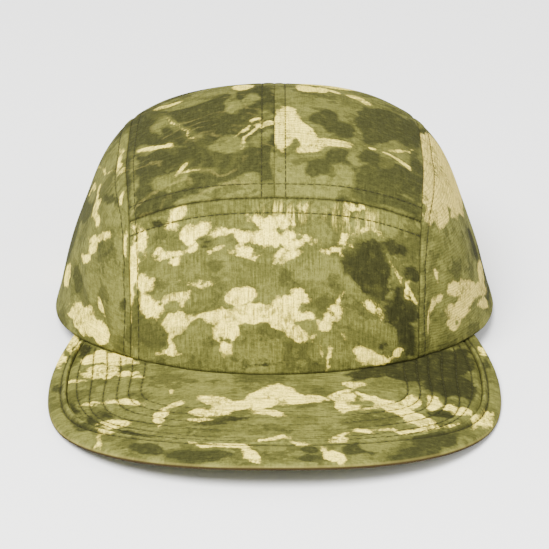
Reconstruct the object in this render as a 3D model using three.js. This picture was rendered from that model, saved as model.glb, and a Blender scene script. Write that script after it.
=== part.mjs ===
// Five panel cap: a soft crown of five cloth panels and a flat peak with a bound edge.
// Millimetres, +Z up. The peak points along -Y and +X is to its right in a front view.
// The rear and side rim lie on the surface and the peak's side corners nearly touch it.
import * as THREE from "three";

// Driving sizes of the crown; the drops count from its top and the inset from its side
const CROWN_WIDTH = 175;
const CROWN_LENGTH = 196;
const CROWN_HEIGHT = 95.7;
const CLOTH = 1.6;
const SEAM_GAP = 0.3;
const FRONT_LIFT = 15.2;
const FRONT_SEAM_DROP = 13.9;
const FRONT_CORNER_DROP = 29.9;
const SIDE_SEAM_INSET = 29.8;

// Driving sizes of the peak; the distances back count from the crown's front
const PEAK_REACH = 70;
const PEAK_WIDTH = 172.8;
const PEAK_WIDEST_BACK = 14.8;
const PEAK_END_BACK = 57.5;
const PEAK_CLOTH = 1.25;
const LAYER_GAP = 0.3;
const BORDER_SIDE_WIDTH = 7.8;
const BORDER_FRONT_WIDTH = 16.5;
const RIB_WIDTH = 2.8;
const RIB_HEIGHT = 0.8;
const PEAK_SLOPE = THREE.MathUtils.degToRad(2.5);

// Shares that shape the forms
const RIM_TOUCH_SHARE = 0.15;
const RIM_ROUNDING_SHARE = 0.15;
const SEAM_NARROWING_SHARE = 0.115;
const SEAM_WIDEST_SHARE = -0.15;
const PEAK_POWER = 2.3;
const PEAK_FRONT_SHARE = 0.8;
const PEAK_TIP_SHARE = 0.99;
const ARCH_LIMIT_SHARE = 0.88;

// Cells of the faceted surfaces, and steps of the searches
const FRONT_ROWS = 8;
const TOP_ROWS = 19;
const HALF_COLUMNS = 7;
const SIDE_ROWS = 8;
const PEAK_STATIONS = 44;
const PEAK_ROWS = 4;
const HALVINGS = 30;
const ROUNDS = 6;
const CURVE_SAMPLES = 60;
const SMALL_STEP = 1e-3;

const HALF_WIDTH = CROWN_WIDTH / 2;
const HALF_LENGTH = CROWN_LENGTH / 2;
const SIDE_SEAM_SPREAD = HALF_WIDTH - SIDE_SEAM_INSET;
const PEAK_HALF_WIDTH = PEAK_WIDTH / 2;
const PEAK_THICKNESS = 2 * PEAK_CLOTH + LAYER_GAP;
const SEAM_INSET = SEAM_GAP / 2;
const ACROSS_INSET = SEAM_INSET / SIDE_SEAM_SPREAD;

// The crown's sections from the rim to the top, one row each. Reaches and centre are shares of
// the half width and half length, heights are shares of the crown's height, and the squareness
// is the power of the oval, 2 for an ellipse and more for a boxier one.
const SECTION_COLUMNS = [
  "side",
  "sideHeight",
  "front",
  "frontHeight",
  "back",
  "backHeight",
  "centre",
  "frontSquare",
  "backSquare",
];
const SECTIONS = [
  [1.0, 0.0, -1.0, 0.0, 1.0, 0.0, 0.0, 2.0, 2.0],
  [0.97, 0.13, -0.985, 0.255, 0.995, 0.15, -0.005, 2.15, 2.1],
  [0.93, 0.28, -0.945, 0.53, 0.975, 0.31, -0.01, 2.4, 2.2],
  [0.865, 0.45, -0.875, 0.805, 0.92, 0.458, -0.02, 2.75, 2.35],
  [0.773, 0.65, -0.8, 0.923, 0.81, 0.592, -0.04, 3.0, 2.45],
  [0.604, 0.82, -0.68, 0.965, 0.64, 0.715, -0.08, 3.0, 2.45],
  [0.384, 0.925, -0.52, 0.985, 0.4, 0.85, -0.14, 2.8, 2.4],
  [0.18, 0.985, -0.38, 0.997, 0.08, 0.96, -0.2, 2.4, 2.2],
  [0.0, 1.0, -0.25, 1.0, -0.25, 1.0, -0.25, 2.0, 2.0],
].map((row) => Object.fromEntries(SECTION_COLUMNS.map((name, i) => [name, row[i]])));

// Soft folds pressed into the cloth: the turn and level of their middle, how they lean from
// upright in degrees, and their length, width and depth as shares of the crown's half width
const FOLDS = [
  { turn: -67, level: 0.22, lean: -64, length: 0.14, width: 0.05, depth: 0.024 },
  { turn: -51, level: 0.13, lean: -44, length: 0.12, width: 0.045, depth: 0.016 },
  { turn: 44, level: 0.1, lean: 0, length: 0.14, width: 0.045, depth: 0.016 },
];

// The table runs on past both ends: straight on below the rim, and mirrored over the top
function extendedSections() {
  const below = {};
  for (const name of SECTION_COLUMNS) {
    below[name] = 2 * SECTIONS[0][name] - SECTIONS[1][name];
  }
  const row = SECTIONS[SECTIONS.length - 2];
  const beyond = {
    side: -row.side,
    sideHeight: row.sideHeight,
    front: row.back,
    frontHeight: row.backHeight,
    back: row.front,
    backHeight: row.frontHeight,
    centre: row.centre,
    frontSquare: row.backSquare,
    backSquare: row.frontSquare,
  };
  return [below, ...SECTIONS, beyond];
}

const CURVE_ROWS = extendedSections();

// One column of the table as a smooth curve, at a level from 0 at the rim to 1 at the top
function sectionValue(name, level) {
  const place = THREE.MathUtils.clamp(level, 0, 1) * (SECTIONS.length - 1);
  const index = Math.min(Math.floor(place), SECTIONS.length - 2);
  const t = place - index;
  const a = CURVE_ROWS[index][name];
  const b = CURVE_ROWS[index + 1][name];
  const c = CURVE_ROWS[index + 2][name];
  const d = CURVE_ROWS[index + 3][name];
  const bend = 2 * a - 5 * b + 4 * c - d + (3 * b - a - 3 * c + d) * t;
  return b + 0.5 * t * (c - a + bend * t);
}

// Height of the rim: on the surface behind, rising evenly towards the peak
function rimHeight(cosine) {
  const share = (cosine + RIM_TOUCH_SHARE) / (1 + RIM_TOUCH_SHARE);
  if (share <= -RIM_ROUNDING_SHARE) return 0;
  if (share >= RIM_ROUNDING_SHARE) return FRONT_LIFT * share;
  return (FRONT_LIFT * (share + RIM_ROUNDING_SHARE) ** 2) / (4 * RIM_ROUNDING_SHARE);
}

// A point of the crown's outside; turn is 0 in front, a quarter turn at +X and a half turn behind
function crownPoint(level, turn) {
  const sine = Math.sin(turn);
  const cosine = Math.cos(turn);
  const end = cosine >= 0 ? "front" : "back";
  const power = 2 / sectionValue(`${end}Square`, level);
  const reach = sectionValue(end, level);
  const centre = sectionValue("centre", level);
  const endHeight = sectionValue(`${end}Height`, level);
  const sideHeight = sectionValue("sideHeight", level);
  const height = THREE.MathUtils.lerp(sideHeight, endHeight, cosine * cosine);
  return new THREE.Vector3(
    HALF_WIDTH * sectionValue("side", level) * Math.sign(sine) * Math.abs(sine) ** power,
    HALF_LENGTH * (centre + (reach - centre) * Math.abs(cosine) ** power),
    CROWN_HEIGHT * height + rimHeight(cosine) * (1 - sideHeight) ** 3,
  );
}

function crownNormal(level, turn) {
  const low = Math.max(level - SMALL_STEP, 0);
  const high = Math.min(level + SMALL_STEP, 1);
  const rise = crownPoint(high, turn).sub(crownPoint(low, turn));
  const round = crownPoint(level, turn + SMALL_STEP).sub(crownPoint(level, turn - SMALL_STEP));
  const normal = round.cross(rise);
  if (level === 0) normal.z = 0;
  return normal.length() < 1e-9 ? new THREE.Vector3(0, 0, 1) : normal.normalize();
}

function foldDepth(level, turn) {
  let depth = 0;
  for (const fold of FOLDS) {
    const lean = THREE.MathUtils.degToRad(fold.lean);
    const round = turn - THREE.MathUtils.degToRad(fold.turn);
    const up = level - fold.level;
    const along = (up * Math.cos(lean) + round * Math.sin(lean)) / fold.length;
    const across = (round * Math.cos(lean) - up * Math.sin(lean)) / fold.width;
    depth += fold.depth * HALF_WIDTH * Math.exp(-along * along - across * across);
  }
  return depth;
}

// Outer and inner points of the cloth at one place of the crown
function clothPair(place) {
  const point = crownPoint(place.level, place.turn);
  const normal = crownNormal(place.level, place.turn);
  const dent = foldDepth(place.level, place.turn);
  return {
    outer: point.clone().addScaledVector(normal, -dent),
    inner: point.clone().addScaledVector(normal, -dent - CLOTH),
  };
}

// The value between 0 and 1 up to which a test holds, found by halving
function lastTrue(test) {
  let low = 0;
  let high = 1;
  for (let step = 0; step < HALVINGS; step += 1) {
    const middle = (low + high) / 2;
    if (test(middle)) low = middle;
    else high = middle;
  }
  return (low + high) / 2;
}

// The side seam runs back over the crown, a little closer to the middle at both ends
function seamX(y) {
  const share = y / HALF_LENGTH - SEAM_WIDEST_SHARE;
  return SIDE_SEAM_SPREAD * (1 - SEAM_NARROWING_SHARE * share * share);
}

function turnAt(level, x, behind) {
  const power = 2 / sectionValue(behind ? "backSquare" : "frontSquare", level);
  const reach = HALF_WIDTH * sectionValue("side", level);
  const share = reach > 1e-6 ? Math.min(Math.abs(x) / reach, 1) : 0;
  const turn = Math.asin(share ** (1 / power));
  return (x < 0 ? -1 : 1) * (behind ? Math.PI - turn : turn);
}

const CENTRE_LEVEL = lastTrue(
  (level) => crownPoint(level, 0).z < CROWN_HEIGHT - FRONT_SEAM_DROP,
);
const CORNER_LEVEL = lastTrue((level) => {
  const nearby = crownPoint(level, turnAt(level, SIDE_SEAM_SPREAD, false));
  const corner = crownPoint(level, turnAt(level, seamX(nearby.y), false));
  return corner.z < CROWN_HEIGHT - FRONT_CORNER_DROP;
});

// A place on the middle strip of the crown. across is -1 to 1 from side seam to side seam,
// along is -1 at the peak, 0 at the cross seam, 1 at the widest line and 2 at the rear hem.
function stripPlace(across, along) {
  const seamLevel = THREE.MathUtils.lerp(CENTRE_LEVEL, CORNER_LEVEL, Math.min(across * across, 1));
  let y = 0;
  let place = null;
  for (let round = 0; round < ROUNDS; round += 1) {
    const x = across * seamX(y);
    const widest = lastTrue((level) => HALF_WIDTH * sectionValue("side", level) > Math.abs(x));
    let level = seamLevel * (1 + along);
    if (along > 0) level = widest - (widest - seamLevel) * (1 - along) ** 2;
    if (along > 1) level = widest * (1 - (along - 1) ** 2);
    place = { level, turn: turnAt(level, x, along > 1) };
    y = crownPoint(place.level, place.turn).y;
  }
  return place;
}

function evenSpread(from, to, count) {
  return Array.from({ length: count + 1 }, (_, i) => THREE.MathUtils.lerp(from, to, i / count));
}

// Shares of a path that divide it into equal lengths, after leaving a trim off each end
function evenShares(path, count, startTrim, endTrim) {
  const lengths = [0];
  let last = path(0);
  for (let i = 1; i <= CURVE_SAMPLES; i += 1) {
    const next = path(i / CURVE_SAMPLES);
    lengths.push(lengths[i - 1] + next.distanceTo(last));
    last = next;
  }
  return evenSpread(startTrim, lengths[CURVE_SAMPLES] - endTrim, count).map((goal) => {
    let i = 1;
    while (i < CURVE_SAMPLES && lengths[i] < goal) i += 1;
    return (i - 1 + (goal - lengths[i - 1]) / (lengths[i] - lengths[i - 1])) / CURVE_SAMPLES;
  });
}

// Evenly spaced places along one line of the strip
function stripLine(across, from, to, count, startTrim, endTrim) {
  const placeAt = (share) => stripPlace(across, THREE.MathUtils.lerp(from, to, share));
  const path = (share) => {
    const place = placeAt(share);
    return crownPoint(place.level, place.turn);
  };
  return evenShares(path, count, startTrim, endTrim).map(placeAt);
}

function frontLine(across) {
  return stripLine(across, -1, 0, FRONT_ROWS, 0, SEAM_INSET);
}

function topLine(across) {
  return stripLine(across, 0, 2, TOP_ROWS, SEAM_INSET, 0);
}

// Collects vertices and triangles: points that fall together become one vertex, and
// triangles without area are dropped
function meshCollector() {
  const positions = [];
  const triangles = [];
  const found = new Map();
  const vertex = (point) => {
    const key = point.toArray().map((value) => Math.round(value / SMALL_STEP)).join(",");
    if (!found.has(key)) {
      found.set(key, positions.length / 3);
      positions.push(point.x, point.y, point.z);
    }
    return found.get(key);
  };
  const triangle = (a, b, c) => {
    if (a !== b && b !== c && c !== a) triangles.push(a, b, c);
  };
  const quad = (a, b, c, d) => {
    triangle(a, b, c);
    triangle(a, c, d);
  };
  const geometry = () => {
    const result = new THREE.BufferGeometry();
    result.setAttribute("position", new THREE.Float32BufferAttribute(positions, 3));
    result.setIndex(triangles);
    result.computeVertexNormals();
    return result;
  };
  return { vertex, quad, geometry };
}

// A closed shell from columns of outer and inner points: two faces, and walls round the edge
function shellGeometry(columns) {
  const { vertex, quad, geometry } = meshCollector();
  const outer = columns.map((column) => column.map((pair) => vertex(pair.outer)));
  const inner = columns.map((column) => column.map((pair) => vertex(pair.inner)));
  const lastColumn = columns.length - 1;
  const lastRow = columns[0].length - 1;
  for (let i = 0; i < lastColumn; i += 1) {
    for (let j = 0; j < lastRow; j += 1) {
      quad(outer[i][j], outer[i + 1][j], outer[i + 1][j + 1], outer[i][j + 1]);
      quad(inner[i][j], inner[i][j + 1], inner[i + 1][j + 1], inner[i + 1][j]);
    }
    quad(outer[i][0], inner[i][0], inner[i + 1][0], outer[i + 1][0]);
    quad(outer[i][lastRow], outer[i + 1][lastRow], inner[i + 1][lastRow], inner[i][lastRow]);
  }
  const outerEnd = outer[lastColumn];
  const innerEnd = inner[lastColumn];
  for (let j = 0; j < lastRow; j += 1) {
    quad(outer[0][j], outer[0][j + 1], inner[0][j + 1], inner[0][j]);
    quad(outerEnd[j], innerEnd[j], innerEnd[j + 1], outerEnd[j + 1]);
  }
  return geometry();
}

function frontPanel() {
  const edge = 1 - ACROSS_INSET;
  const lines = evenSpread(-edge, edge, 2 * HALF_COLUMNS).map(frontLine);
  return shellGeometry(lines.map((line) => line.map(clothPair)));
}

function topPanel(side) {
  const middle = side * ACROSS_INSET;
  const edge = side * (1 - ACROSS_INSET);
  const lines = evenSpread(Math.min(middle, edge), Math.max(middle, edge), HALF_COLUMNS).map(topLine);
  return shellGeometry(lines.map((line) => line.map(clothPair)));
}

// The side panel fills the space between the side seam and the rim, and comes to a point
// at both ends. Its columns run from even places on the rim to the seam's own places.
function sidePanel(side) {
  const across = side * (1 + ACROSS_INSET);
  const seam = [...frontLine(across), ...topLine(across)];
  const feet = evenSpread(seam[0].turn, seam[seam.length - 1].turn, seam.length - 1);
  const columns = seam.map((place, i) =>
    evenSpread(0, 1, SIDE_ROWS).map((share) => {
      const turn = THREE.MathUtils.lerp(feet[i], place.turn, share);
      return clothPair({ level: place.level * share, turn });
    }),
  );
  return shellGeometry(side > 0 ? columns : columns.reverse());
}

// The rim in plan, on the line from the crown's middle through a point, or just inside it
function rimPoint(point, inset) {
  const share = Math.hypot(point.x / (HALF_WIDTH - inset), point.y / (HALF_LENGTH - inset));
  return point.clone().divideScalar(share);
}

// Half the peak's width where it ends under the crown, on the inner line of the crown's rim
function peakEndHalfWidth() {
  const forward = (HALF_LENGTH - PEAK_END_BACK) / (HALF_LENGTH - CLOTH);
  return (HALF_WIDTH - CLOTH) * Math.sqrt(1 - forward * forward);
}

// The peak's outline in plan, from 0 at the front to 1 or -1 where it ends under the crown:
// a squarish oval as far as its widest place, then a gentle curve inwards
function outlinePoint(share) {
  const side = Math.sign(share);
  const widestY = PEAK_WIDEST_BACK - HALF_LENGTH;
  if (Math.abs(share) <= PEAK_FRONT_SHARE) {
    const angle = ((Math.abs(share) / PEAK_FRONT_SHARE) * Math.PI) / 2;
    const power = 2 / PEAK_POWER;
    return new THREE.Vector2(
      side * PEAK_HALF_WIDTH * Math.sin(angle) ** power,
      widestY - (PEAK_REACH + PEAK_WIDEST_BACK) * Math.cos(angle) ** power,
    );
  }
  const back = (Math.abs(share) - PEAK_FRONT_SHARE) / (1 - PEAK_FRONT_SHARE);
  return new THREE.Vector2(
    side * THREE.MathUtils.lerp(PEAK_HALF_WIDTH, peakEndHalfWidth(), back * back),
    widestY + (PEAK_END_BACK - PEAK_WIDEST_BACK) * back,
  );
}

// How far the peak bends down towards its sides: as the rim does, then straight on
function archDrop(x) {
  const share = Math.abs(x) / HALF_WIDTH;
  const limitRise = Math.sqrt(1 - ARCH_LIMIT_SHARE ** 2);
  if (share < ARCH_LIMIT_SHARE) return 1 - Math.sqrt(1 - share * share);
  return 1 - limitRise + ((share - ARCH_LIMIT_SHARE) * ARCH_LIMIT_SHARE) / limitRise;
}

// Height of the peak's upper face, a seam gap below the crown's lower edge where they meet
function peakHeight(point) {
  const rim = rimPoint(point, 0);
  const place = rim.length() > point.length() ? rim : point;
  const fall = Math.tan(PEAK_SLOPE);
  const arch = FRONT_LIFT / (1 + RIM_TOUCH_SHARE) + HALF_LENGTH * fall;
  const reach = -HALF_LENGTH - place.y;
  return FRONT_LIFT - SEAM_GAP - arch * archDrop(place.x) - reach * fall;
}

function borderWidth(point) {
  const share = Math.min(Math.abs(point.x) / PEAK_HALF_WIDTH, 1);
  return THREE.MathUtils.lerp(BORDER_SIDE_WIDTH, BORDER_FRONT_WIDTH, (1 - share ** 4) ** 2);
}

// One station of the peak: a point of its outline, the straight way in to the crown, and the
// share of a step along that way that counts square to the edge
function peakStation(share) {
  const edge = outlinePoint(share);
  const way = rimPoint(edge, CLOTH).sub(edge);
  const length = way.length();
  const inward = way.normalize();
  const ahead = outlinePoint(share + SMALL_STEP);
  const tangent = ahead.sub(outlinePoint(share - SMALL_STEP)).normalize();
  return { edge, inward, length, squareShare: Math.abs(inward.cross(tangent)) };
}

function stationShares(limit) {
  const shareAt = (part) => THREE.MathUtils.lerp(-limit, limit, part);
  const path = (part) => {
    const point = outlinePoint(shareAt(part));
    return new THREE.Vector3(point.x, point.y, 0);
  };
  return evenShares(path, PEAK_STATIONS, 0, 0).map(shareAt);
}

function layerPair(station, distance, drop, thickness) {
  const point = station.edge.clone().addScaledVector(station.inward, distance);
  const z = peakHeight(point) - drop;
  return {
    outer: new THREE.Vector3(point.x, point.y, z),
    inner: new THREE.Vector3(point.x, point.y, z - thickness),
  };
}

function clothStart(station) {
  return (borderWidth(station.edge) + SEAM_GAP) / station.squareShare;
}

// One layer of the peak's cloth, which ends where its border reaches the crown
function peakLayer(drop) {
  const limit = lastTrue((share) => {
    const station = peakStation(share);
    return station.length - clothStart(station) > CLOTH;
  });
  const stations = stationShares(limit).map(peakStation);
  return shellGeometry(
    stations.map((station) => {
      const distances = evenSpread(clothStart(station), station.length, PEAK_ROWS);
      return distances.map((distance) => layerPair(station, distance, drop, PEAK_CLOTH));
    }),
  );
}

// The border's section: a rounded outer edge, a flat strip and a rib along its inner line,
// which is lower where the border is wide and gone where it passes under the crown
function borderSection(station) {
  const width = borderWidth(station.edge);
  const room = Math.min(width / station.squareShare, station.length);
  const rib = Math.min(RIB_WIDTH / station.squareShare, room / 2);
  const clear = (station.length - width / station.squareShare - CLOTH) / RIB_WIDTH;
  const fade = THREE.MathUtils.clamp(clear, 0, 1) * Math.min(1, BORDER_SIDE_WIDTH / width) ** 2;
  const rise = RIB_HEIGHT * fade;
  const half = PEAK_THICKNESS / 2;
  const round = Math.min(half, room / 4);
  return [
    { distance: 0, drop: half * 0.8, thickness: half * 0.4 },
    { distance: round * 0.3, drop: half * 0.3, thickness: half * 1.4 },
    { distance: round, drop: 0, thickness: half * 2 },
    { distance: room - rib, drop: 0, thickness: half * 2 },
    { distance: room - rib * 0.7, drop: -rise, thickness: half * 2 + rise },
    { distance: room - rib * 0.3, drop: -rise, thickness: half * 2 + rise },
    { distance: room, drop: 0, thickness: half * 2 },
  ];
}

function peakBorder() {
  const stations = stationShares(PEAK_TIP_SHARE).map(peakStation);
  return shellGeometry(
    stations.map((station) =>
      borderSection(station).map((spot) => layerPair(station, spot.distance, spot.drop, spot.thickness)),
    ),
  );
}

function addPiece(group, name, geometry, color, roughness) {
  const material = new THREE.MeshStandardMaterial({ color, roughness, metalness: 0 });
  const mesh = new THREE.Mesh(geometry, material);
  mesh.name = name;
  group.add(mesh);
}

// The whole cap stands with the middle of its plan outline at the origin
const group = new THREE.Group();
group.position.y = PEAK_REACH / 2;
addPiece(group, "front_panel", frontPanel(), 0x8f8f52, 0.92);
addPiece(group, "top_panel_left", topPanel(-1), 0x77753f, 0.92);
addPiece(group, "top_panel_right", topPanel(1), 0x86854a, 0.92);
addPiece(group, "side_panel_left", sidePanel(-1), 0x898649, 0.92);
addPiece(group, "side_panel_right", sidePanel(1), 0x99935a, 0.92);
addPiece(group, "peak_top", peakLayer(0), 0x928f52, 0.9);
addPiece(group, "peak_under", peakLayer(PEAK_CLOTH + LAYER_GAP), 0x7a7640, 0.92);
addPiece(group, "peak_border", peakBorder(), 0x85824a, 0.92);

export default group;
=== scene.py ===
import math

import bpy
import numpy as np
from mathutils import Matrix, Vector


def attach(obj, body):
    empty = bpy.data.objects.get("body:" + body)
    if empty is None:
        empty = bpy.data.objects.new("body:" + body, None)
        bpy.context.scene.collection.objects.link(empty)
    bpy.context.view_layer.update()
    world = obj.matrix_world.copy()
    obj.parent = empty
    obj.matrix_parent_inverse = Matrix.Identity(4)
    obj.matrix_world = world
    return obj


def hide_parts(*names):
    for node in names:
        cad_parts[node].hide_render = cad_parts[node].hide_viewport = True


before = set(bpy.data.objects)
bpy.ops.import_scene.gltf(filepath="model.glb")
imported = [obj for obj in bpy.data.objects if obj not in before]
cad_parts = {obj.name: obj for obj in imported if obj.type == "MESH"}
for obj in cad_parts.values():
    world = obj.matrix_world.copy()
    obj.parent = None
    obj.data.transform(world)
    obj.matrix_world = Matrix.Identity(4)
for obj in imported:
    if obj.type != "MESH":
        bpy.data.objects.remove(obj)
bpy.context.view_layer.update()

# The cap's surfaces, in millimetres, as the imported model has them
CROWN_WIDTH = 175.0
CROWN_LENGTH = 196.0
CROWN_HEIGHT = 95.7
CLOTH = 1.6
SEAM_GAP = 0.3
FRONT_LIFT = 15.2
FRONT_SEAM_DROP = 13.9
FRONT_CORNER_DROP = 29.9
SIDE_SEAM_INSET = 29.8
PEAK_REACH = 70.0
PEAK_WIDTH = 172.8
PEAK_WIDEST_BACK = 14.8
PEAK_END_BACK = 57.5
PEAK_CLOTH = 1.25
LAYER_GAP = 0.3
BORDER_SIDE_WIDTH = 7.8
BORDER_FRONT_WIDTH = 16.5
PEAK_SLOPE = math.radians(2.5)
RIM_TOUCH = 0.15
RIM_ROUNDING = 0.15
SEAM_NARROWING = 0.115
SEAM_WIDEST = -0.15
PEAK_POWER = 2.3
PEAK_FRONT_SHARE = 0.8
PEAK_TIP_SHARE = 0.99
ARCH_LIMIT = 0.88
SMALL_STEP = 1e-3
TINY = 1e-6
HALVINGS = 30
ROUNDS = 6
LINE_SAMPLES = 91
HALF_WIDTH = CROWN_WIDTH / 2
HALF_LENGTH = CROWN_LENGTH / 2
PEAK_HALF_WIDTH = PEAK_WIDTH / 2
SEAM_SPREAD = HALF_WIDTH - SIDE_SEAM_INSET
SHIFT = PEAK_REACH / 2

# The crown's sections from the rim to the top. Reaches and centre are shares of the half width and
# half length, heights are shares of the crown's height, and the squares are powers of the oval.
COLUMNS = ("side", "sideHeight", "front", "frontHeight", "back", "backHeight", "centre",
           "frontSquare", "backSquare")
SECTIONS = np.array([
    [1.0, 0.0, -1.0, 0.0, 1.0, 0.0, 0.0, 2.0, 2.0],
    [0.97, 0.13, -0.985, 0.255, 0.995, 0.15, -0.005, 2.15, 2.1],
    [0.93, 0.28, -0.945, 0.53, 0.975, 0.31, -0.01, 2.4, 2.2],
    [0.865, 0.45, -0.875, 0.805, 0.92, 0.458, -0.02, 2.75, 2.35],
    [0.773, 0.65, -0.8, 0.923, 0.81, 0.592, -0.04, 3.0, 2.45],
    [0.604, 0.82, -0.68, 0.965, 0.64, 0.715, -0.08, 3.0, 2.45],
    [0.384, 0.925, -0.52, 0.985, 0.4, 0.85, -0.14, 2.8, 2.4],
    [0.18, 0.985, -0.38, 0.997, 0.08, 0.96, -0.2, 2.4, 2.2],
    [0.0, 1.0, -0.25, 1.0, -0.25, 1.0, -0.25, 2.0, 2.0],
])
# Soft folds: turn and level of the middle, lean from upright, length, width and depth. Angles are
# in degrees and the rest in shares of the crown's sizes.
FOLDS = (
    (-67, 0.22, -64, 0.14, 0.05, 0.024),
    (-51, 0.13, -44, 0.12, 0.045, 0.016),
    (44, 0.1, 0, 0.14, 0.045, 0.016),
)
# The table runs on past both ends: straight on below the rim, and mirrored over the top
LAST = len(SECTIONS) - 1
MIRRORED = SECTIONS[-2][[0, 1, 4, 5, 2, 3, 6, 8, 7]] * [-1, 1, 1, 1, 1, 1, 1, 1, 1]
EXTENDED = np.vstack([2 * SECTIONS[0] - SECTIONS[1], SECTIONS, MIRRORED])


def section_value(name, level):
    rows = EXTENDED[:, COLUMNS.index(name)]
    place = np.clip(level, 0, 1) * LAST
    i = np.minimum(place.astype(int), LAST - 1)
    t = place - i
    a, b, c, d = rows[i], rows[i + 1], rows[i + 2], rows[i + 3]
    return b + 0.5 * t * (c - a + (2 * a - 5 * b + 4 * c - d + (3 * b - a - 3 * c + d) * t) * t)


def rim_height(cosine):
    share = (cosine + RIM_TOUCH) / (1 + RIM_TOUCH)
    rounded = FRONT_LIFT * (share + RIM_ROUNDING) ** 2 / (4 * RIM_ROUNDING)
    straight = np.where(share >= RIM_ROUNDING, FRONT_LIFT * share, rounded)
    return np.where(share <= -RIM_ROUNDING, 0.0, straight)


def crown_point(level, turn):
    level, turn = np.broadcast_arrays(np.asarray(level, float), np.asarray(turn, float))
    sine, cosine = np.sin(turn), np.cos(turn)
    ahead = cosine >= 0

    def end(name):
        front, back = (section_value(word + name, level) for word in ("front", "back"))
        return np.where(ahead, front, back)

    power = 2 / end("Square")
    centre = section_value("centre", level)
    side_height = section_value("sideHeight", level)
    height = side_height + (end("Height") - side_height) * cosine ** 2
    return np.stack([
        HALF_WIDTH * section_value("side", level) * np.sign(sine) * np.abs(sine) ** power,
        HALF_LENGTH * (centre + (end("") - centre) * np.abs(cosine) ** power) + SHIFT,
        CROWN_HEIGHT * height + rim_height(cosine) * (1 - side_height) ** 3,
    ], axis=-1)


def crown_normal(level, turn):
    above = crown_point(np.minimum(level + SMALL_STEP, 1), turn)
    below = crown_point(np.maximum(level - SMALL_STEP, 0), turn)
    around = crown_point(level, turn + SMALL_STEP) - crown_point(level, turn - SMALL_STEP)
    normal = np.cross(around, above - below)
    normal[..., 2] = np.where(level <= 0, 0, normal[..., 2])
    return unit(normal)


def unit(vectors):
    return vectors / np.maximum(np.linalg.norm(vectors, axis=-1, keepdims=True), 1e-12)


def bell(distance, width):
    return np.exp(-(distance / width) ** 2)


def run_lengths(points, axis=0):
    """Length along the lines of points to each of them."""
    total = np.cumsum(np.linalg.norm(np.diff(points, axis=axis), axis=-1), axis=axis)
    zero = np.zeros_like(np.take(total, [0], axis=axis))
    return np.concatenate([zero, total], axis=axis)


def fold_depth(level, turn):
    depth = np.zeros(np.shape(level))
    for place, middle, lean, length, width, deep in FOLDS:
        lean = math.radians(lean)
        around = turn - math.radians(place)
        up = level - middle
        along = (up * math.cos(lean) + around * math.sin(lean)) / length
        across = (around * math.cos(lean) - up * math.sin(lean)) / width
        depth += deep * HALF_WIDTH * np.exp(-along ** 2 - across ** 2)
    return depth


def last_true(test, shape):
    """The last place from 0 to 1 where the test still holds, over an array."""
    low, high = np.zeros(shape), np.ones(shape)
    for _ in range(HALVINGS):
        middle = (low + high) / 2
        ok = test(middle)
        low, high = np.where(ok, middle, low), np.where(ok, high, middle)
    return (low + high) / 2


def seam_x(y):
    share = y / HALF_LENGTH - SEAM_WIDEST
    return SEAM_SPREAD * (1 - SEAM_NARROWING * share * share)


def turn_at(level, x, behind):
    back, front = section_value("backSquare", level), section_value("frontSquare", level)
    square = np.where(behind, back, front)
    reach = HALF_WIDTH * section_value("side", level)
    share = np.where(reach > TINY, np.minimum(np.abs(x) / np.maximum(reach, TINY), 1), 0)
    turn = np.arcsin(share ** (square / 2))
    return np.where(x < 0, -1, 1) * np.where(behind, math.pi - turn, turn)


def centre_below(level):
    return crown_point(level, np.zeros(()))[..., 2] < CROWN_HEIGHT - FRONT_SEAM_DROP


def corner_below(level):
    nearby = crown_point(level, turn_at(level, np.asarray(SEAM_SPREAD), False))
    corner = crown_point(level, turn_at(level, seam_x(nearby[..., 1] - SHIFT), False))
    return corner[..., 2] < CROWN_HEIGHT - FRONT_CORNER_DROP


# Levels of the cross seam in the middle and at its ends
CENTRE_LEVEL = float(last_true(centre_below, ()))
CORNER_LEVEL = float(last_true(corner_below, ()))


def strip_place(across, along):
    """Level and turn at a place of the middle strip. Across runs from -1 to 1 between the side
    seams, along from -1 at the front rim over 0 at the cross seam to 2 at the rear rim."""
    across, along = np.broadcast_arrays(np.asarray(across, float), np.asarray(along, float))
    share = np.minimum(across ** 2, 1)
    seam_level = CENTRE_LEVEL + (CORNER_LEVEL - CENTRE_LEVEL) * share
    y = np.zeros(across.shape)
    for _ in range(ROUNDS):
        x = across * seam_x(y)
        widest = last_true(lambda t: HALF_WIDTH * section_value("side", t) > np.abs(x), x.shape)
        level = seam_level * (1 + along)
        level = np.where(along > 0, widest - (widest - seam_level) * (1 - along) ** 2, level)
        level = np.where(along > 1, widest * (1 - (along - 1) ** 2), level)
        turn = turn_at(level, x, along > 1)
        y = crown_point(level, turn)[..., 1] - SHIFT
    return level, turn


def strip_lines(across, start, end, shares, start_trim, end_trim):
    """Places at the given shares of the length of each line of the strip, less its trims."""
    samples = np.linspace(0, 1, LINE_SAMPLES)
    along = start + (end - start) * samples
    level, turn = strip_place(across[:, None], along[None, :])
    lengths = run_lengths(crown_point(level, turn), 1)
    goals = start_trim + (lengths[:, -1:] - start_trim - end_trim) * shares[None, :]
    found = np.stack([np.interp(goal, length, samples) for goal, length in zip(goals, lengths)])
    return strip_place(across[:, None], start + (end - start) * found)


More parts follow.
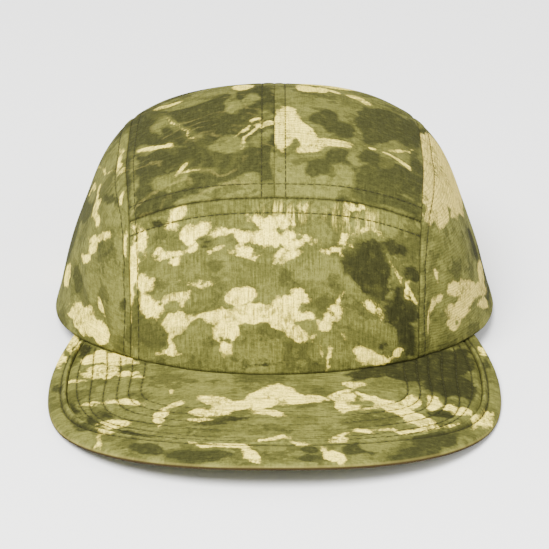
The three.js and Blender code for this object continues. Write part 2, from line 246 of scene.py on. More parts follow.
def outline_point(share):
    """A place on the peak's outline in plan, from -1 over 0 at its front to 1."""
    share = np.asarray(share, float)
    side, whole = np.sign(share), np.abs(share)
    widest_y = PEAK_WIDEST_BACK - HALF_LENGTH
    angle = np.minimum(whole / PEAK_FRONT_SHARE, 1) * math.pi / 2
    power = 2 / PEAK_POWER
    back = np.maximum(whole - PEAK_FRONT_SHARE, 0) / (1 - PEAK_FRONT_SHARE)
    forward = (HALF_LENGTH - PEAK_END_BACK) / (HALF_LENGTH - CLOTH)
    end = (HALF_WIDTH - CLOTH) * math.sqrt(1 - forward ** 2)
    ahead = whole <= PEAK_FRONT_SHARE
    ahead_x = PEAK_HALF_WIDTH * np.sin(angle) ** power
    ahead_y = widest_y - (PEAK_REACH + PEAK_WIDEST_BACK) * np.abs(np.cos(angle)) ** power
    back_x = PEAK_HALF_WIDTH + (end - PEAK_HALF_WIDTH) * back ** 2
    back_y = widest_y + (PEAK_END_BACK - PEAK_WIDEST_BACK) * back
    x, y = np.where(ahead, ahead_x, back_x), np.where(ahead, ahead_y, back_y)
    return np.stack([side * x, y], axis=-1)


def rim_point(point, inset):
    share = np.hypot(point[..., 0] / (HALF_WIDTH - inset), point[..., 1] / (HALF_LENGTH - inset))
    return point / np.maximum(share, 1e-9)[..., None]


def peak_height(point):
    rim = rim_point(point, 0.0)
    inside = np.linalg.norm(rim, axis=-1) > np.linalg.norm(point, axis=-1)
    place = np.where(inside[..., None], rim, point)
    share = np.abs(place[..., 0]) / HALF_WIDTH
    limit = math.sqrt(1 - ARCH_LIMIT ** 2)
    round_drop = 1 - np.sqrt(1 - np.minimum(share, ARCH_LIMIT) ** 2)
    drop = round_drop + np.maximum(share - ARCH_LIMIT, 0) * ARCH_LIMIT / limit
    fall = math.tan(PEAK_SLOPE)
    arch = FRONT_LIFT / (1 + RIM_TOUCH) + HALF_LENGTH * fall
    return FRONT_LIFT - SEAM_GAP - arch * drop + (HALF_LENGTH + place[..., 1]) * fall


def border_width(point):
    share = np.minimum(np.abs(point[..., 0]) / PEAK_HALF_WIDTH, 1)
    return BORDER_SIDE_WIDTH + (BORDER_FRONT_WIDTH - BORDER_SIDE_WIDTH) * (1 - share ** 4) ** 2


def peak_stations(shares):
    """Lines from the peak's outline in to the crown: start, way, length, sine of the angle to the
    outline, and the outline's tangent."""
    edge = outline_point(shares)
    way = rim_point(edge, CLOTH) - edge
    length = np.linalg.norm(way, axis=-1)
    inward = way / length[:, None]
    tangent = unit(outline_point(shares + SMALL_STEP) - outline_point(shares - SMALL_STEP))
    square = np.abs(inward[:, 0] * tangent[:, 1] - inward[:, 1] * tangent[:, 0])
    return edge, inward, length, square, tangent


# ---- grids ----
# Spacing of the grid lines: length in millimetres, coarse step, fine bands at the start and end
FRONT_ACROSS = (116, 1.1, 7, 7)
FRONT_UP = (70, 1.0, 3, 8)
TOP_ACROSS = (59, 1.1, 7, 8)
TOP_BACK = (216, 1.3, 8, 3)
SIDE_UP = (75, 1.2, 3, 7)
PEAK_IN = (55, 0.9, 3, 1)
FINE_STEP = 0.38
SPACING_SAMPLES = 4000
SIDE_FRONT_LINES = 62
SIDE_TOP_LINES = 176
# Millimetres of the side panels' flat cloth to one radian of turn
FLAT_RADIUS = 92
# The cloth pieces meet more closely than the solids they dress. The walls at the centre seam and
# round the peak lean, so that no light shows through.
CLOTH_GAP = 0.1
SEAM_SLANT = 0.9
EDGE = 1 - CLOTH_GAP / 2 / SEAM_SPREAD
MIDDLE = CLOTH_GAP / 2 / SEAM_SPREAD


def spread(length, coarse, start_band, end_band):
    """Shares of a length, finely spaced in the bands at its ends."""
    place = np.linspace(0, length, SPACING_SAMPLES)
    step = np.where((place < start_band) | (place > length - end_band), FINE_STEP, coarse)
    count = np.concatenate([[0], np.cumsum(np.diff(place) / step[1:])])
    whole = max(int(round(count[-1])), 2)
    return np.interp(np.linspace(0, count[-1], whole + 1), count, place) / length


def strip_grid(across, start, end, shares, start_trim, end_trim):
    """Level and turn over a strip of the crown, and where its cloth lies once it is flat."""
    level, turn = strip_lines(across, start, end, shares, start_trim, end_trim)
    run = run_lengths(crown_point(level, turn), 1)
    if end == 0:
        run = run - run[:, -1:]
    return level, turn, np.stack([across[:, None] * SEAM_SPREAD + 0 * run, run], axis=-1)


def front_grid():
    across = spread(*FRONT_ACROSS) * 2 * EDGE - EDGE
    return strip_grid(across, -1, 0, spread(*FRONT_UP), 0, CLOTH_GAP / 2)


def top_grid(side):
    across = MIDDLE + (EDGE - MIDDLE) * spread(*TOP_ACROSS)
    across = across if side > 0 else -across[::-1]
    return strip_grid(across, 0, 2, spread(*TOP_BACK), CLOTH_GAP / 2, 0)


def side_grid(side):
    across = np.array([side * (1 + MIDDLE)])
    front = strip_lines(across, -1, 0, np.linspace(0, 1, SIDE_FRONT_LINES), 0, 0)
    top = strip_lines(across, 0, 2, np.linspace(0, 1, SIDE_TOP_LINES), 0, 0)
    level = np.concatenate([front[0][0], top[0][0][1:]])
    turn = np.concatenate([front[1][0], top[1][0][1:]])
    feet = np.linspace(turn[0], turn[-1], len(turn))
    shares = spread(*SIDE_UP)[None, :]
    levels = level[:, None] * shares
    turns = feet[:, None] + (turn - feet)[:, None] * shares
    if side < 0:
        levels, turns = levels[::-1], turns[::-1]
    height = crown_point(levels, turns)[..., 2]
    return levels, turns, np.stack([turns * FLAT_RADIUS, height], axis=-1)


# ---- soft noise and distances ----
LATTICE_SIZE = 24
LATTICE = np.random.default_rng(11).random((LATTICE_SIZE,) * 3) * 2 - 1
# Points that nearest() takes at a time
CHUNK = 4000


def soft_noise(points, size, shift=0.0):
    """Smooth noise from -1 to 1 with cells of the given size."""
    place = np.asarray(points, float) / size + shift
    cell = np.floor(place).astype(int)
    part = place - cell
    part = part * part * (3 - 2 * part)
    total = 0
    for dx in (0, 1):
        for dy in (0, 1):
            for dz in (0, 1):
                weight = 1
                for k, d in enumerate((dx, dy, dz)):
                    weight = weight * (part[..., k] if d else 1 - part[..., k])
                i, j, k = ((cell[..., n] + d) % LATTICE_SIZE for n, d in enumerate((dx, dy, dz)))
                total = total + weight * LATTICE[i, j, k]
    return total


def line_noise(place, size, row):
    """Noise along a line; each row number has its own."""
    points = np.zeros(np.shape(place) + (3,))
    points[..., 0] = place / size
    points[..., 1] = row * 3.7 + 0.4
    points[..., 2] = row * 1.9
    return soft_noise(points, 1.0)


def nearest(points, line):
    """Distance from each point to a line of points, and how far along it the nearest place is."""
    flat_points = points.reshape(-1, 3)
    start, run = line[:-1], np.diff(line, axis=0)
    length = np.maximum(np.linalg.norm(run, axis=1), 1e-9)
    before = np.concatenate([[0], np.cumsum(length)[:-1]])
    gaps, places = [], []
    for i in range(0, len(flat_points), CHUNK):
        away = flat_points[i:i + CHUNK, None, :] - start[None]
        part = np.clip((away * run).sum(2) / length ** 2, 0, 1)
        gap = np.linalg.norm(away - part[..., None] * run, axis=2)
        best = gap.argmin(axis=1)
        rows = np.arange(len(best))
        gaps.append(gap[rows, best])
        places.append(before[best] + part[rows, best] * length[best])
    shape = points.shape[:-1]
    return np.concatenate(gaps).reshape(shape), np.concatenate(places).reshape(shape)


def step_down(value, start, end):
    part = np.clip((value - start) / (end - start), 0, 1)
    return 1 - part * part * (3 - 2 * part)


# ---- crown relief ----
def strip_line(across, start, end, count):
    level, turn = strip_lines(np.array([across]), start, end, np.linspace(0, 1, count), 0, 0)
    return crown_point(level[0], turn[0])


def cross_line():
    across = np.linspace(-1, 1, 90)
    return crown_point(*strip_place(across, np.zeros(90)))


def inset_line(grid, axis, end, offset, trim=0):
    """Level and turn along a grid's line at a distance in from one of its edges."""
    level, turn, _ = grid
    points = crown_point(level, turn)
    run = run_lengths(points, axis)
    if end:
        run = np.take(run, [-1], axis=axis) - run
        level, turn, run = (np.flip(part, axis) for part in (level, turn, run))
    if axis == 0:
        level, turn, run = level.T, turn.T, run.T
    found = np.array([
        (np.interp(offset, r, a), np.interp(offset, r, b)) for a, b, r in zip(level, turn, run)
    ])[trim:len(level) - trim]
    return found[:, 0], found[:, 1]


SEAMS = {
    "cross": cross_line(),
    "centre": strip_line(0.0, 0, 2, 160),
    "left": np.concatenate([strip_line(-1.0, -1, 0, 50), strip_line(-1.0, 0, 2, 140)[1:]]),
    "right": np.concatenate([strip_line(1.0, -1, 0, 50), strip_line(1.0, 0, 2, 140)[1:]]),
    "rim": crown_point(np.zeros(361), np.linspace(-math.pi, math.pi, 361)),
}
# How deep each seam sinks in millimetres, and how dark the painted shade in its groove is, from 0
# to 1
SEAM_DEPTHS = {"cross": 0.45, "centre": 0.16, "left": 0.28, "right": 0.28, "rim": 0.45}
SEAM_SHADES = {"cross": 0.8, "centre": 0.45, "left": 0.72, "right": 0.72, "rim": 0.7}
# Widths in millimetres of the painted shade in the seams' grooves and in the cross seam's groove,
# and the spacing of the cross seam's needle holes
SEAM_GROOVE = 0.42
CROSS_GROOVE = 0.6
NEEDLE_HOLES = 1.9
# The relief, its lengths in millimetres: the bands of the seam allowances and of the hem, the
# puckers, the rows of stitches, the unevenness of the cloth and the flare above the rim
ALLOWANCE = 5.2
HEM = 7.0
ALLOWANCE_RISE = 0.1
PUCKER = 0.19
CENTRE_PUCKER = 0.1
ROW_DEPTH = 0.3
# How dark the painted shade along a row of stitches is
ROW_SHADE = 0.4
WAVE = 0.42
WAVE_SIZE = 31
SMALL_WAVE = 0.28
SMALL_WAVE_SIZE = 13
FLARE = 0.7
FLARE_TURN = 1.35


def rim_flare(level, turn):
    """The cloth stands out a little more just above the rim at the sides."""
    return FLARE * bell(np.abs(turn) - FLARE_TURN, 0.5) * bell(level, 0.07)


class Panel:
    """One panel of the crown, with the seams round it and its rows of stitches."""

    def __init__(self, grid, seams, rows):
        self.grid, self.seams, self.rows = grid, seams, rows

    def relief(self, points, level, turn):
        """How far the cloth stands out of the smooth crown, and the painted shade in its grooves.
        """
        out = rim_flare(level, turn) - fold_depth(level, turn)
        out = out + WAVE * soft_noise(points, WAVE_SIZE)
        out = out + SMALL_WAVE * soft_noise(points, SMALL_WAVE_SIZE, 5.3)
        groove_shade = np.zeros(level.shape)
        for number, name in enumerate(self.seams):
            gap, place = nearest(points, SEAMS[name])
            band = HEM if name == "rim" else ALLOWANCE
            # the allowance lifts the cloth, the seam sinks it and the thread puckers it
            out = out + ALLOWANCE_RISE * step_down(gap, band - 0.6, band + 1.2)
            out = out - SEAM_DEPTHS[name] * (bell(gap, 0.6) + 0.2 * bell(gap, 2))
            if name != "rim":
                wave = line_noise(place, 4.2, number + 1) + 0.6 * line_noise(place, 2.3, number + 9)
                pucker = CENTRE_PUCKER if name == "centre" else PUCKER
                out = out + pucker * wave * bell(gap - 2, 4.5) * np.minimum(gap, 1)
            # painted shade along the seam's groove, with darker needle holes along the cross seam
            tone, width = SEAM_SHADES[name], SEAM_GROOVE
            if name == "cross":
                tone = tone + 0.2 * np.sin(place * 2 * math.pi / NEEDLE_HOLES)
                width = CROSS_GROOVE
            groove_shade = np.maximum(groove_shade, tone * bell(gap, width))
        for place, deep in self.rows:
            gap, _ = nearest(points, crown_point(*place))
            out = out - ROW_DEPTH * deep * bell(gap, 0.7)
            # painted shade along the row's groove
            groove_shade = np.maximum(groove_shade, ROW_SHADE * deep * bell(gap, SEAM_GROOVE))
        return out, groove_shade

    def build(self, name):
        level, turn, flat = self.grid
        points, normal = crown_point(level, turn), crown_normal(level, turn)
        out, groove_shade = self.relief(points, level, turn)
        # inside, the allowances stand in and the seam itself is drawn out
        inside = rim_flare(level, turn) - fold_depth(level, turn)
        inside = inside + WAVE * soft_noise(points, WAVE_SIZE)
        for seam in self.seams:
            gap, _ = nearest(points, SEAMS[seam])
            inside = inside - 0.5 * step_down(gap, 6, 6.8) + 0.4 * bell(gap, 0.8)
        outer = points + normal * out[..., None]
        inner = points + normal * (inside - CLOTH)[..., None]
        if "centre" in self.seams:
            gap, _ = nearest(points, SEAMS["centre"])
            inner[..., 0] += SEAM_SLANT * bell(gap, 3)
        return shell(name, outer, inner, flat, groove_shade)

    def stitches(self):
        parts = []
        for (level, turn), _ in self.rows:
            points, normal = crown_point(level, turn), crown_normal(level, turn)
            out, _ = self.relief(points, level, turn)
            parts.append(stitch_row(points + normal * out[:, None], normal))
        return parts


# ---- meshes ----
# Vertices of a shell within this many millimetres become one
SAME_PLACE = 0.002


def new_object(name, vertices, faces, smooth_angle=50):
    mesh = bpy.data.meshes.new(name)
    mesh.vertices.add(len(vertices))
    mesh.vertices.foreach_set("co", (vertices / 1000).astype(np.float32).ravel())
    loops = [vertex for face in faces for vertex in face]
    starts = np.concatenate([[0], np.cumsum([len(face) for face in faces])[:-1]])
    mesh.loops.add(len(loops))
    mesh.loops.foreach_set("vertex_index", loops)
    mesh.polygons.add(len(starts))
    mesh.polygons.foreach_set("loop_start", starts.astype(np.int32))
    mesh.update(calc_edges=True)
    mesh.validate()
    mesh.polygons.foreach_set("use_smooth", np.ones(len(mesh.polygons), bool))
    mesh.set_sharp_from_angle(angle=math.radians(smooth_angle))
    obj = bpy.data.objects.new(name, mesh)
    bpy.context.scene.collection.objects.link(obj)
    return obj


def grid_faces(outer, inner):
    """Quads of a closed shell over two grids of vertex numbers."""
    def quads(a, b, c, d):
        return np.stack([a, b, c, d], axis=-1).reshape(-1, 4)

    faces = [
        quads(outer[:-1, :-1], outer[1:, :-1], outer[1:, 1:], outer[:-1, 1:]),
        quads(inner[:-1, :-1], inner[:-1, 1:], inner[1:, 1:], inner[1:, :-1]),
        quads(outer[:-1, 0], inner[:-1, 0], inner[1:, 0], outer[1:, 0]),
        quads(outer[:-1, -1], outer[1:, -1], inner[1:, -1], inner[:-1, -1]),
        quads(outer[0, :-1], outer[0, 1:], inner[0, 1:], inner[0, :-1]),
        quads(outer[-1, :-1], inner[-1, :-1], inner[-1, 1:], outer[-1, 1:]),
    ]
    return np.concatenate(faces)


def shell(name, outer, inner, flat, groove_shade, **fields):
    """A closed cloth shell; points that fall together become one."""
    both = np.concatenate([outer.reshape(-1, 3), inner.reshape(-1, 3)])
    keys = np.round(both / SAME_PLACE).astype(np.int64)
    _, first, same = np.unique(keys, axis=0, return_index=True, return_inverse=True)
    half = outer.shape[0] * outer.shape[1]
    outer_ids, inner_ids = same.ravel().reshape(2, *outer.shape[:2])
    cleaned = []
    for face in grid_faces(outer_ids, inner_ids).tolist():
        kept = [v for i, v in enumerate(face) if v != face[i - 1]]
        if len(set(kept)) == len(kept) and len(kept) > 2:
            cleaned.append(kept)
    obj = new_object(name, both[first], cleaned)
    flats = np.concatenate([flat.reshape(-1, 2)] * 2)
    layer = np.repeat([0.0, 1.0], half)
    store(obj, "flat", np.column_stack([flats, layer])[first])
    store(obj, "groove_shade", np.concatenate([groove_shade.ravel(), 0 * groove_shade.ravel()])[first])
    for field, values in fields.items():
        store(obj, field, values.ravel()[first])
    return obj


def store(obj, name, values):
    kind, field = ("FLOAT_VECTOR", "vector") if values.ndim == 2 else ("FLOAT", "value")
    layer = obj.data.attributes.new(name, kind, "POINT")
    layer.data.foreach_set(field, values.astype(np.float32).ravel())


# ---- stitches ----
# Half the thread's thickness, and the outline of a stitch: places along it as shares of its
# length, rise out of the cloth and thickness as shares of the thread's
THREAD = 0.17
STITCH_SIDES = 6
STITCH_PLACES = np.array([0, 0.12, 0.35, 0.65, 0.88, 1])
STITCH_RISE = np.array([-0.9, 0.1, 0.5, 0.5, 0.1, -0.9]) * THREAD
STITCH_SIZE = np.array([0.5, 0.9, 1, 1, 0.9, 0.5]) * THREAD


def stitch_row(line, normal, length=2.6, gap=0.35):
    """Stitches that lie along a line of points: arched threads with their ends in the cloth."""
    run = run_lengths(line)
    count = int(run[-1] // (length + gap))
    if count < 1:
        return np.zeros((0, 3)), np.zeros((0, 4), int)
    starts = (np.arange(count) + 0.5) * run[-1] / count - length / 2
    place = starts[:, None] + STITCH_PLACES * length
    centre = np.stack([np.interp(place, run, line[:, k]) for k in range(3)], axis=-1)
    up = unit(np.stack([np.interp(place, run, normal[:, k]) for k in range(3)], axis=-1))
    ahead = unit(np.gradient(centre, axis=1))
    right = unit(np.cross(ahead, up))
    centre = centre + up * STITCH_RISE[:, None]
    angle = np.linspace(0, 2 * math.pi, STITCH_SIDES, endpoint=False)
    cosine, sine = np.cos(angle)[:, None], np.sin(angle)[:, None]
    ring = right[:, :, None] * cosine + up[:, :, None] * sine
    points = centre[:, :, None] + ring * STITCH_SIZE[:, None, None]
    ids = np.arange(points[..., 0].size).reshape(points.shape[:3])
    turned = np.roll(ids, -1, axis=2)
    faces = [np.stack([ids[:, :-1], turned[:, :-1], turned[:, 1:], ids[:, 1:]], -1).reshape(-1, 4)]
    for end, first, second in ((ids[:, 0], 2, 1), (ids[:, -1], 1, 2)):
        for k in range(STITCH_SIDES - 2):
            fan = [end[:, 0], end[:, k + first], end[:, k + second], end[:, k + second]]
            faces.append(np.stack(fan, -1))
    return points.reshape(-1, 3), np.concatenate(faces)


def stitch_object(name, parts):
    points, faces, before = [], [], 0
    for part_points, part_faces in parts:
        points.append(part_points)
        faces.append(part_faces + before)
        before += len(part_points)
    faces = np.concatenate(faces).tolist()
    faces = [face[:3] if face[2] == face[3] else face for face in faces]
    return new_object(name, np.concatenate(points), faces, 80)


# ---- peak ----
# Stitch rows: offset in from the outline at the side and in front, dip at the corner, depth
ROWS = (
    (11.1, 18.2, 0.0, 0.8),
    (17.0, 20.5, 3.5, 0.9),
    (22.6, 26.0, 4.2, 1.0),
    (27.8, 30.8, 4.0, 1.0),
    (32.3, 36.3, 4.0, 1.0),
    (37.1, 41.3, 4.0, 1.0),
)
BORDER_ROW = (5.0, 15.0, 0.0)
PEAK_STITCH = (2.5, 0.45)
PEAK_THICKNESS = 2 * PEAK_CLOTH + LAYER_GAP
# Places across the border as shares of its width, dense at the rounded edge
BORDER_PLACES = np.concatenate([
    np.array([0, 0.12, 0.3, 0.55, 0.85, 1.2, 1.7, 2.4]) / 16, np.linspace(0.2, 1, 34),
])
RIB_RISE = 1.15
RIB_FADE = 2.8


def row_offset(edge, side, front, dip):
    share = np.abs(edge[:, 0]) / PEAK_HALF_WIDTH
    corner = 4 * share ** 8 * (1 - share ** 8)
    return side + (front - side) * (1 - share ** 4) ** 2 - dip * corner


def outside_crown(plan):
    return plan[np.hypot(plan[:, 0] / HALF_WIDTH, plan[:, 1] / HALF_LENGTH) > 1.0]


def peak_row(side, front, dip):
    """One stitch row in plan, from where it leaves the crown on one side to the other."""
    edge, _, _, _, tangent = peak_stations(np.linspace(-0.985, 0.985, 700))
    inward = np.stack([-tangent[:, 1], tangent[:, 0]], axis=1)
    inward *= np.where((inward * (edge - [0, -60])).sum(1) > 0, -1, 1)[:, None]
    return outside_crown(edge + inward * row_offset(edge, side, front, dip)[:, None])


def peak_space(plan, height):
    return np.stack([plan[..., 0], plan[..., 1] + SHIFT, height], axis=-1)


def level_points(plan):
    return np.concatenate([plan, np.zeros(plan.shape[:-1] + (1,))], axis=-1)


def resample(points, step):
    run = run_lengths(points)
    place = np.linspace(0, run[-1], max(int(run[-1] / step), 2))
    return np.stack([np.interp(place, run, column) for column in points.T], axis=1)


PEAK_LINES = [resample(peak_row(*row[:3]), 1.5) for row in ROWS]


def row_strength(x):
    """Rows are sunk less deep in the middle of the front."""
    return 0.25 + 0.75 * np.clip((np.abs(x) - 18) / 36, 0, 1)


def peak_relief(plan):
    """How far the upper cloth stands out of the smooth peak, and the painted shade in its grooves.
    """
    points = level_points(plan)
    out = 0.16 * soft_noise(points, 21, 2.1) + 0.07 * soft_noise(points, 8, 7.7)
    groove_shade = np.zeros(plan.shape[:-1])
    for number, (line, row) in enumerate(zip(PEAK_LINES, ROWS)):
        gap, place = nearest(points, level_points(line))
        strength = row[3] * row_strength(plan[..., 0])
        out = out - 0.34 * strength * bell(gap, 0.8)
        out = out + 0.07 * line_noise(place, 2.6, number + 20) * bell(gap - 1.6, 1.8)
        # painted shade along the row's groove
        groove_shade = np.maximum(groove_shade, 0.82 * strength * bell(gap, 0.46))
    return out, groove_shade


def cloth_room(share):
    edge, _, length, square, _ = peak_stations(np.array([share]))
    return (length - (border_width(edge) + SEAM_GAP) / square)[0]


# The peak's cloth ends where the border leaves it too little room beside the crown.
CLOTH_END = float(last_true(lambda share: cloth_room(share) > CLOTH, ()))


def even_shares(limit, count):
    shares = np.linspace(-limit, limit, 2001)
    run = run_lengths(outline_point(shares))
    return np.interp(np.linspace(0, run[-1], count + 1), run, shares)


def peak_cloth(name, drop, under):
    edge, inward, length, square, _ = peak_stations(even_shares(CLOTH_END, 300))
    start = ((border_width(edge) + CLOTH_GAP) / square)[:, None]
    distance = start + (length[:, None] - start) * spread(*PEAK_IN)
    plan = edge[:, None] + inward[:, None] * distance[..., None]
    out, groove_shade = peak_relief(plan)
    edge_gap = (distance - start) * square[:, None]
    top = peak_height(plan) - drop
    low = top - PEAK_CLOTH
    if under:
        low = low - 0.7 * out + 0.4 * bell(edge_gap, 0.8)
    else:
        top = top + out - 0.55 * bell(edge_gap, 0.8)
    slant = -inward[:, None] * (SEAM_SLANT * bell(edge_gap, 2) / square[:, None])[..., None]
    top_plan = plan + slant * drop / PEAK_THICKNESS
    low_plan = plan + slant * (drop + PEAK_CLOTH) / PEAK_THICKNESS
    return shell(name, peak_space(top_plan, top), peak_space(low_plan, low), plan, groove_shade)


def peak_border():
    shares = even_shares(PEAK_TIP_SHARE, 420)
    edge, inward, length, square, _ = peak_stations(shares)
    width = border_width(edge)
    # past the cloth's ends the border reaches the crown's rim
    room = np.minimum(width / square, length)
    room = np.where(np.abs(shares) > CLOTH_END + 0.002, length, room)
    clear = np.clip((length - width / square - CLOTH) / RIB_FADE, 0, 1)
    rise = (RIB_RISE * clear * np.minimum(1, BORDER_SIDE_WIDTH / width) ** 2)[:, None]
    stitch = row_offset(edge, *BORDER_ROW)[:, None]
    width, square = width[:, None], square[:, None]
    distance = room[:, None] * BORDER_PLACES
    offset = distance * square
    half = PEAK_THICKNESS / 2
    bend = 1 - ((half - np.minimum(offset, half)) / half) ** 2
    bend = half * (1 - np.sqrt(np.clip(bend, 0, 1)))
    inside = np.clip((offset - stitch) / (width - stitch), 0, 1)
    hump = rise * np.sin(math.pi * inside) ** 0.8
    plan = edge[:, None] + inward[:, None] * distance[..., None]
    soft = 0.1 * soft_noise(level_points(plan), 17, 3.3)
    stitch_groove, inner_groove = bell(offset - stitch, 0.6), bell(offset - width, 0.55)
    high = peak_height(plan)
    low = high - PEAK_THICKNESS + bend + 0.3 * inner_groove
    top = high - bend + hump + soft - 0.45 * stitch_groove - 0.8 * inner_groove
    top = np.maximum(top, low + 0.06)
    # how far down the rounded edge a place is, from 0 at the top to 1 at the bottom
    down = bend / PEAK_THICKNESS
    # masks for the painted highlight near the top of the rounded edge and the painted brown shade
    # on its lower half and on the underside by the edge
    brink = np.stack([down, (1 - down) * np.exp(-(offset / 1.5) ** 4)])
    slant = np.minimum(SEAM_SLANT * bell(offset - width, 1.5) / square, 0.3 * distance)
    low_plan = plan - inward[:, None] * slant[..., None]
    # painted shade in the grooves at the stitch row and at the border's inner edge
    groove_shade = np.maximum(0.7 * stitch_groove, inner_groove)
    return shell("peak_border_cloth", peak_space(plan, top), peak_space(low_plan, low), plan,
                 groove_shade, brink=brink)


def up_normals(plan):
    step = 0.5
    dx = (peak_height(plan + [step, 0]) - peak_height(plan - [step, 0])) / (2 * step)
    dy = (peak_height(plan + [0, step]) - peak_height(plan - [0, step])) / (2 * step)
    return unit(np.stack([-dx, -dy, np.ones(len(plan))], axis=1))


def peak_stitches():
    parts = []
    for line in PEAK_LINES:
        plan = resample(line, 0.7)
        sunk = 0.22 * (1 - row_strength(plan[:, 0]))
        height = peak_height(plan) + peak_relief(plan)[0] - sunk
        parts.append(stitch_row(peak_space(plan, height), up_normals(plan), *PEAK_STITCH))
    return parts


def border_stitches():
    edge, inward, _, square, _ = peak_stations(even_shares(0.93, 600))
    plan = outside_crown(edge + inward * (row_offset(edge, *BORDER_ROW) / square)[:, None])
    height = peak_height(plan) - 0.4 - 0.15 * (1 - row_strength(plan[:, 0]))
    return [stitch_row(peak_space(plan, height), up_normals(plan), *PEAK_STITCH)]


